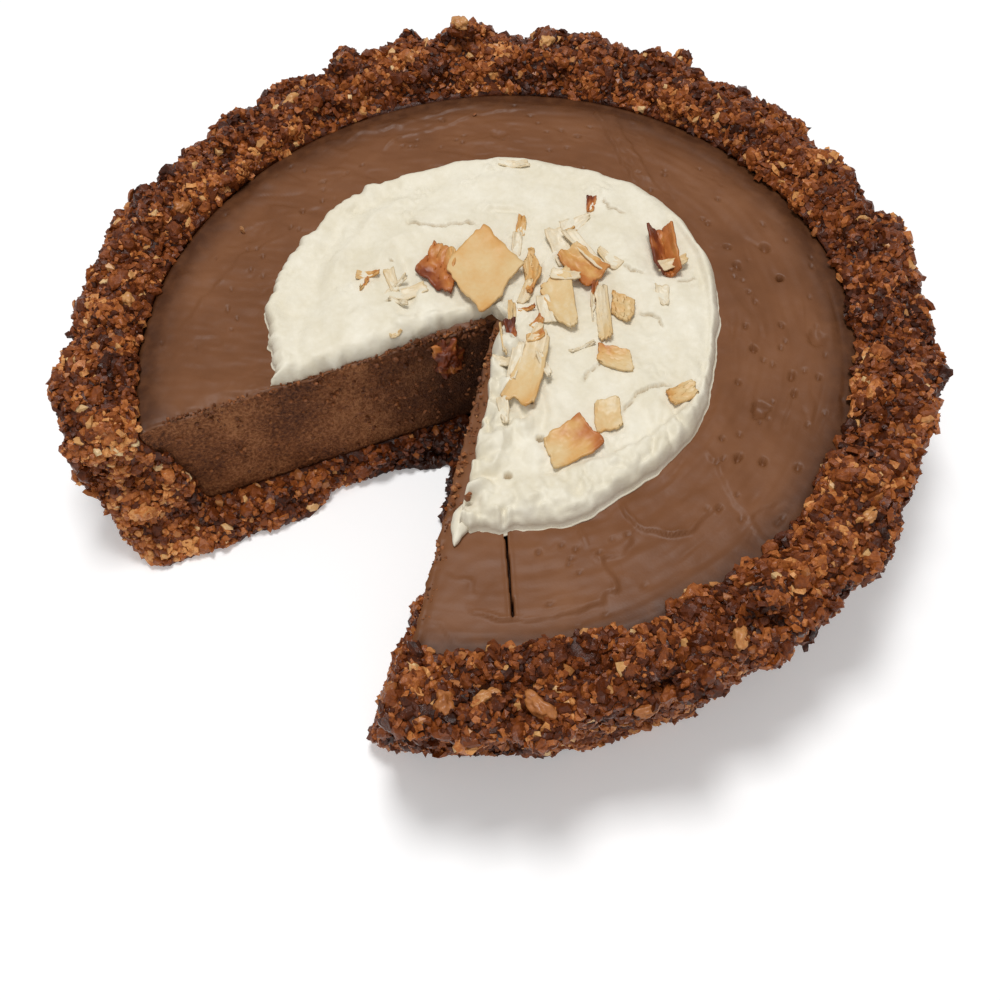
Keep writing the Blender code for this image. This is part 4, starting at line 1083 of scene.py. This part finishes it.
flakeLook = dict(
    bigCells=(34, 26), bigThickness=0.7 * mm, bigShare=99,
    smallCells=(13, 9), smallThickness=0.4 * mm, smallShare=70, smallSeed=83,
    sunk=-0.15 * mm,
)


# a torn, curled chip between four corners, with its toasting kept on its vertices
def chip(corners, lift, toast, curl, crumple, cells, thickness, seed):
    bm = bmesh.new()
    bmesh.ops.create_grid(bm, x_segments=cells[0], y_segments=cells[1], size=1)
    layer = bm.verts.layers.float.new("toast")
    shift = Vector((seed * 5.3, seed * 2.1, seed))
    for vert in bm.verts:
        x, y = vert.co.x, vert.co.y
        rim = max(abs(x), abs(y))
        spot = Vector((x, y, 0))
        wobble = 0.14 * noise.noise(spot * 1.7 + shift) + 0.06 * noise.noise(spot * 5 + shift)
        grow = 1 + wobble * rim ** 3 - 0.07 * (x * y) ** 4
        u, v = (x * grow + 1) / 2, (y * grow + 1) / 2
        shares = ((1 - u) * (1 - v), (1 - u) * v, u * v, u * (1 - v))
        place = sum((Vector(corner) * share for corner, share in zip(corners, shares)), Vector((0, 0)))
        height = sum(amount * share for amount, share in zip(lift, shares))
        height += curl[0] * (x * x - 0.3) + curl[1] * (y * y - 0.3)
        coarse = noise.noise(Vector((x * 2.2, y * 2.2, 5)) + shift)
        height += crumple * (coarse + 0.35 * noise.noise(Vector((x, y, 9)) * 6 + shift))
        shade = sum(amount * share for amount, share in zip(toast, shares))
        patch = noise.noise(Vector((x * 1.6, y * 1.6, 2)) + shift)
        vert[layer] = shade * (1 + 0.45 * patch) + 0.05 * rim ** 6
        vert.co = (place.x * mm, place.y * mm, height * mm)
    bmesh.ops.recalc_face_normals(bm, faces=bm.faces)
    bmesh.ops.solidify(bm, geom=bm.faces, thickness=thickness)
    bmesh.ops.recalc_face_normals(bm, faces=bm.faces)
    return bm


# lets a chip down until a share of it, in percent, clears what lies there, and sinks it a little
def settle(bm, grounds, share):
    down = Vector((0, 0, -1))
    rests = []
    for vert in list(bm.verts)[::5]:
        start = Vector((vert.co.x, vert.co.y, 0.2))
        hits = [tree.ray_cast(start, down)[0] for tree in grounds]
        hits = [hit.z for hit in hits if hit]
        if hits:
            rests.append(max(hits) - vert.co.z)
    drop = float(np.percentile(rests, share)) + flakeLook["sunk"]
    bmesh.ops.translate(bm, vec=(0, 0, drop), verts=bm.verts)


def makeBigFlakes(material, grounds):
    for number, (name, flake) in enumerate(bigFlakes.items()):
        node = "coconut_flake_" + name
        bm = chip(flake["corners"], flake["lift"], flake["toast"], flake["curl"], flake["crumple"],
                  flakeLook["bigCells"], flakeLook["bigThickness"], number + 1)
        settle(bm, grounds, flakeLook["bigShare"])
        mesh = meshFrom(bm, name)
        grounds.append(treeOf(mesh))
        addPiece("flake" + name.capitalize(), mesh, material, [node])


def makeSmallFlakes(material, grounds):
    rng = np.random.default_rng(flakeLook["smallSeed"])
    total = bmesh.new()
    for number, (x, y, length, width, turn, lift, toast) in enumerate(smallFlakes):
        along = Matrix.Rotation(math.radians(turn), 2) @ Vector((length / 2, 0))
        across = Matrix.Rotation(math.radians(turn + 90), 2) @ Vector((width / 2, 0))
        middle = Vector((x, y))
        corners = []
        for sideAlong, sideAcross in ((-1, -1), (-1, 1), (1, 1), (1, -1)):
            torn = (sideAlong * rng.uniform(0.75, 1.15), sideAcross * rng.uniform(0.25, 1.3))
            corners.append(middle + along * torn[0] + across * torn[1])
        shades = (toast * 0.7, toast * 0.8, toast * 1.5 + 0.04, toast * 1.2)
        bm = chip(corners, (0.1, 0.1, lift, lift * 0.6), shades, (0.8, 0.6), 0.6,
                  flakeLook["smallCells"], flakeLook["smallThickness"], number + 40)
        settle(bm, grounds, flakeLook["smallShare"])
        mesh = meshFrom(bm, "chip")
        total.from_mesh(mesh)
        bpy.data.meshes.remove(mesh)
    return addPiece("smallFlakes", meshFrom(total, "smallFlakes"), material)


# the toasted chunk stuck in the cut towards -X: half sizes along, across and up in mm
def makeChunk(material):
    look = dict(size=(4.9, 3.6, 6.9), along=15.5, out=0.4, height=36.5)
    bm = bmesh.new()
    bmesh.ops.create_icosphere(bm, subdivisions=5, radius=1)
    layer = bm.verts.layers.float.new("toast")
    for vert in bm.verts:
        rough = noise.noise(vert.co * 1.3 + Vector((4, 1, 0))) + 0.5 * noise.noise(vert.co * 3.2)
        torn = 0.3 * abs(noise.noise(vert.co * 6.5 + Vector((0, 7, 0))))
        vert[layer] = 0.92 - 0.42 * smooth(0.0, 0.5, noise.noise(vert.co * 1.8 + Vector((9, 0, 3))))
        vert.co *= 0.95 + 0.50 * rough - torn
    bmesh.ops.scale(bm, vec=Vector(look["size"]) * mm, verts=bm.verts)
    along, out = cutFrame(-1)
    bmesh.ops.rotate(bm, matrix=Matrix.Rotation(math.atan2(along.y, along.x), 3, "Z"), verts=bm.verts)
    offset = along * look["along"] + out * look["out"] + Vector((0, 0, look["height"]))
    bmesh.ops.translate(bm, vec=pie["cutPoint"] + offset * mm, verts=bm.verts)
    return addPiece("toastedChunk", meshFrom(bm, "toastedChunk"), material)


def fillingMaterial():
    shades = Shades("chocolateFilling")
    broad = shades.noise(18 * mm, 4)
    skin = shades.ramp(broad, (
        (0.30, (0.150, 0.056, 0.020)),
        (0.55, (0.182, 0.070, 0.026)),
        (0.80, (0.218, 0.090, 0.037)),
    ))
    face = shades.value("cutFace")
    grainTone, grain = shades.mottled(broad, 0.9 * mm, 1.3)
    crumbly = shades.ramp(grainTone, (
        (0.20, (0.070, 0.019, 0.005)),
        (0.50, (0.235, 0.078, 0.024)),
        (0.80, (0.460, 0.190, 0.074)),
    ))
    colour = shades.mix(face, skin, crumbly)
    # painted shade on the cut faces towards the slice's point and on the top near the crust wall, broken up
    # by a noise
    patchy = shades.remap(shades.noise(4 * mm, 3), 0.3, 0.6, 0.5, 0.85)
    shaded = shades.math("MULTIPLY", shades.value("shaded"), patchy)
    colour = shades.mix(shaded, colour, (0.050, 0.016, 0.006))
    # painted shade inside the knife slit
    colour = shades.mix(shades.value("inSlit"), colour, (0.040, 0.013, 0.005))
    fine = shades.bump(shades.noise(0.7 * mm, 3, 0.6), 0.16, 0.2 * mm)
    normal = shades.bump(shades.math("MULTIPLY", grain, face), 1.0, 1.2 * mm, fine)
    satin = shades.remap(broad, 0.3, 0.7, 0.40, 0.52)
    rough = shades.math("ADD", satin, shades.math("MULTIPLY", face, 0.25))
    return shades.finish(colour, rough, normal, gloss=0.24)


def creamMaterial():
    shades = Shades("spreadCream")
    tone, height = shades.mottled(shades.noise(9 * mm, 3), 1.6 * mm, 0.5)
    colour = shades.ramp(tone, ((0.25, (0.730, 0.660, 0.500)), (0.75, (0.830, 0.775, 0.640))))
    # painted shade in the cream's cracks and holes
    colour = shades.mix(shades.value("crackPaintedShade"), colour, (0.420, 0.310, 0.180))
    return shades.finish(colour, 0.5, shades.bump(height, 0.30, 0.4 * mm), gloss=0.3)


# The stage
stageLook = dict(
    floorTone=0.92, floorRough=0.9, floorGlow=0.20, sky=0.42,
    lampsAim=Vector((0, 0, 0.03)),
    lamps=dict(
        softbox=dict(place=(-0.06, 0.04, 0.95), size=0.25, power=5.0),
        frontFill=dict(place=(0.45, -0.60, 0.60), size=0.8, power=0.9),
    ),
)


def makeStage():
    look = stageLook
    bm = bmesh.new()
    bmesh.ops.create_grid(bm, x_segments=1, y_segments=1, size=3)
    mesh = meshFrom(bm, "floor")
    floor = bpy.data.objects.new("floor", mesh)
    bpy.context.scene.collection.objects.link(floor)
    paint = bpy.data.materials.new("paleFloor")
    paint.use_nodes = True
    shader = paint.node_tree.nodes["Principled BSDF"]
    shader.inputs["Base Color"].default_value = [look["floorTone"]] * 3 + [1]
    shader.inputs["Roughness"].default_value = look["floorRough"]
    shader.inputs["Emission Color"].default_value = (1, 1, 1, 1)
    shader.inputs["Emission Strength"].default_value = look["floorGlow"]
    mesh.materials.append(paint)


def makeLights():
    world = bpy.data.worlds.new("studio")
    world.use_nodes = True
    world.node_tree.nodes["Background"].inputs["Color"].default_value = (1, 1, 1, 1)
    world.node_tree.nodes["Background"].inputs["Strength"].default_value = stageLook["sky"]
    bpy.context.scene.world = world
    for name, lamp in stageLook["lamps"].items():
        light = bpy.data.lights.new(name, "AREA")
        light.size = lamp["size"]
        light.energy = lamp["power"]
        made = bpy.data.objects.new(name, light)
        made.location = lamp["place"]
        made.rotation_euler = (stageLook["lampsAim"] - made.location).to_track_quat("-Z", "Y").to_euler()
        bpy.context.scene.collection.objects.link(made)


def makeCamera():
    bpy.context.scene.view_settings.view_transform = "Standard"
    view = dict(
        place=Vector((0.1511, -0.1539, 0.3078)), aim=Vector((0.0350, -0.0380, 0.0450)),
        lens=45.22, roll=-5.19,
    )
    lens = bpy.data.cameras.new("camera")
    lens.lens = view["lens"]
    lens.sensor_width = 36
    camera = bpy.data.objects.new("camera", lens)
    camera.location = view["place"]
    look = (view["aim"] - view["place"]).to_track_quat("-Z", "Y").to_matrix()
    camera.rotation_euler = (look @ Matrix.Rotation(math.radians(view["roll"]), 3, "Z")).to_euler()
    bpy.context.scene.collection.objects.link(camera)
    bpy.context.scene.camera = camera


makeCamera()
makeLights()
makeStage()
print("stage ready")

fillingTree = treeOf(mergedCopy("filling"))
crumb = tonedMaterial("cocoaCrumb")
core = makeCrustCore(crumb)
print("crust core", len(core.data.polygons), "faces")
nut = tonedMaterial("choppedNut")
makeCrumbs(core, crumb, nut)
makeLargeNuts(core, nut)

makeFilling(fillingMaterial())
makeKnifeCrumbs(tonedMaterial("chocolateCrumb"))
whipped = creamMaterial()
cream = makeCream(whipped)
makeDrip(whipped)
print("filling and cream ready")

coconut = tonedMaterial("toastedCoconut")
grounds = [treeOf(cream.data)]
makeBigFlakes(coconut, grounds)
makeSmallFlakes(coconut, grounds)
makeChunk(coconut)
print("flakes ready")
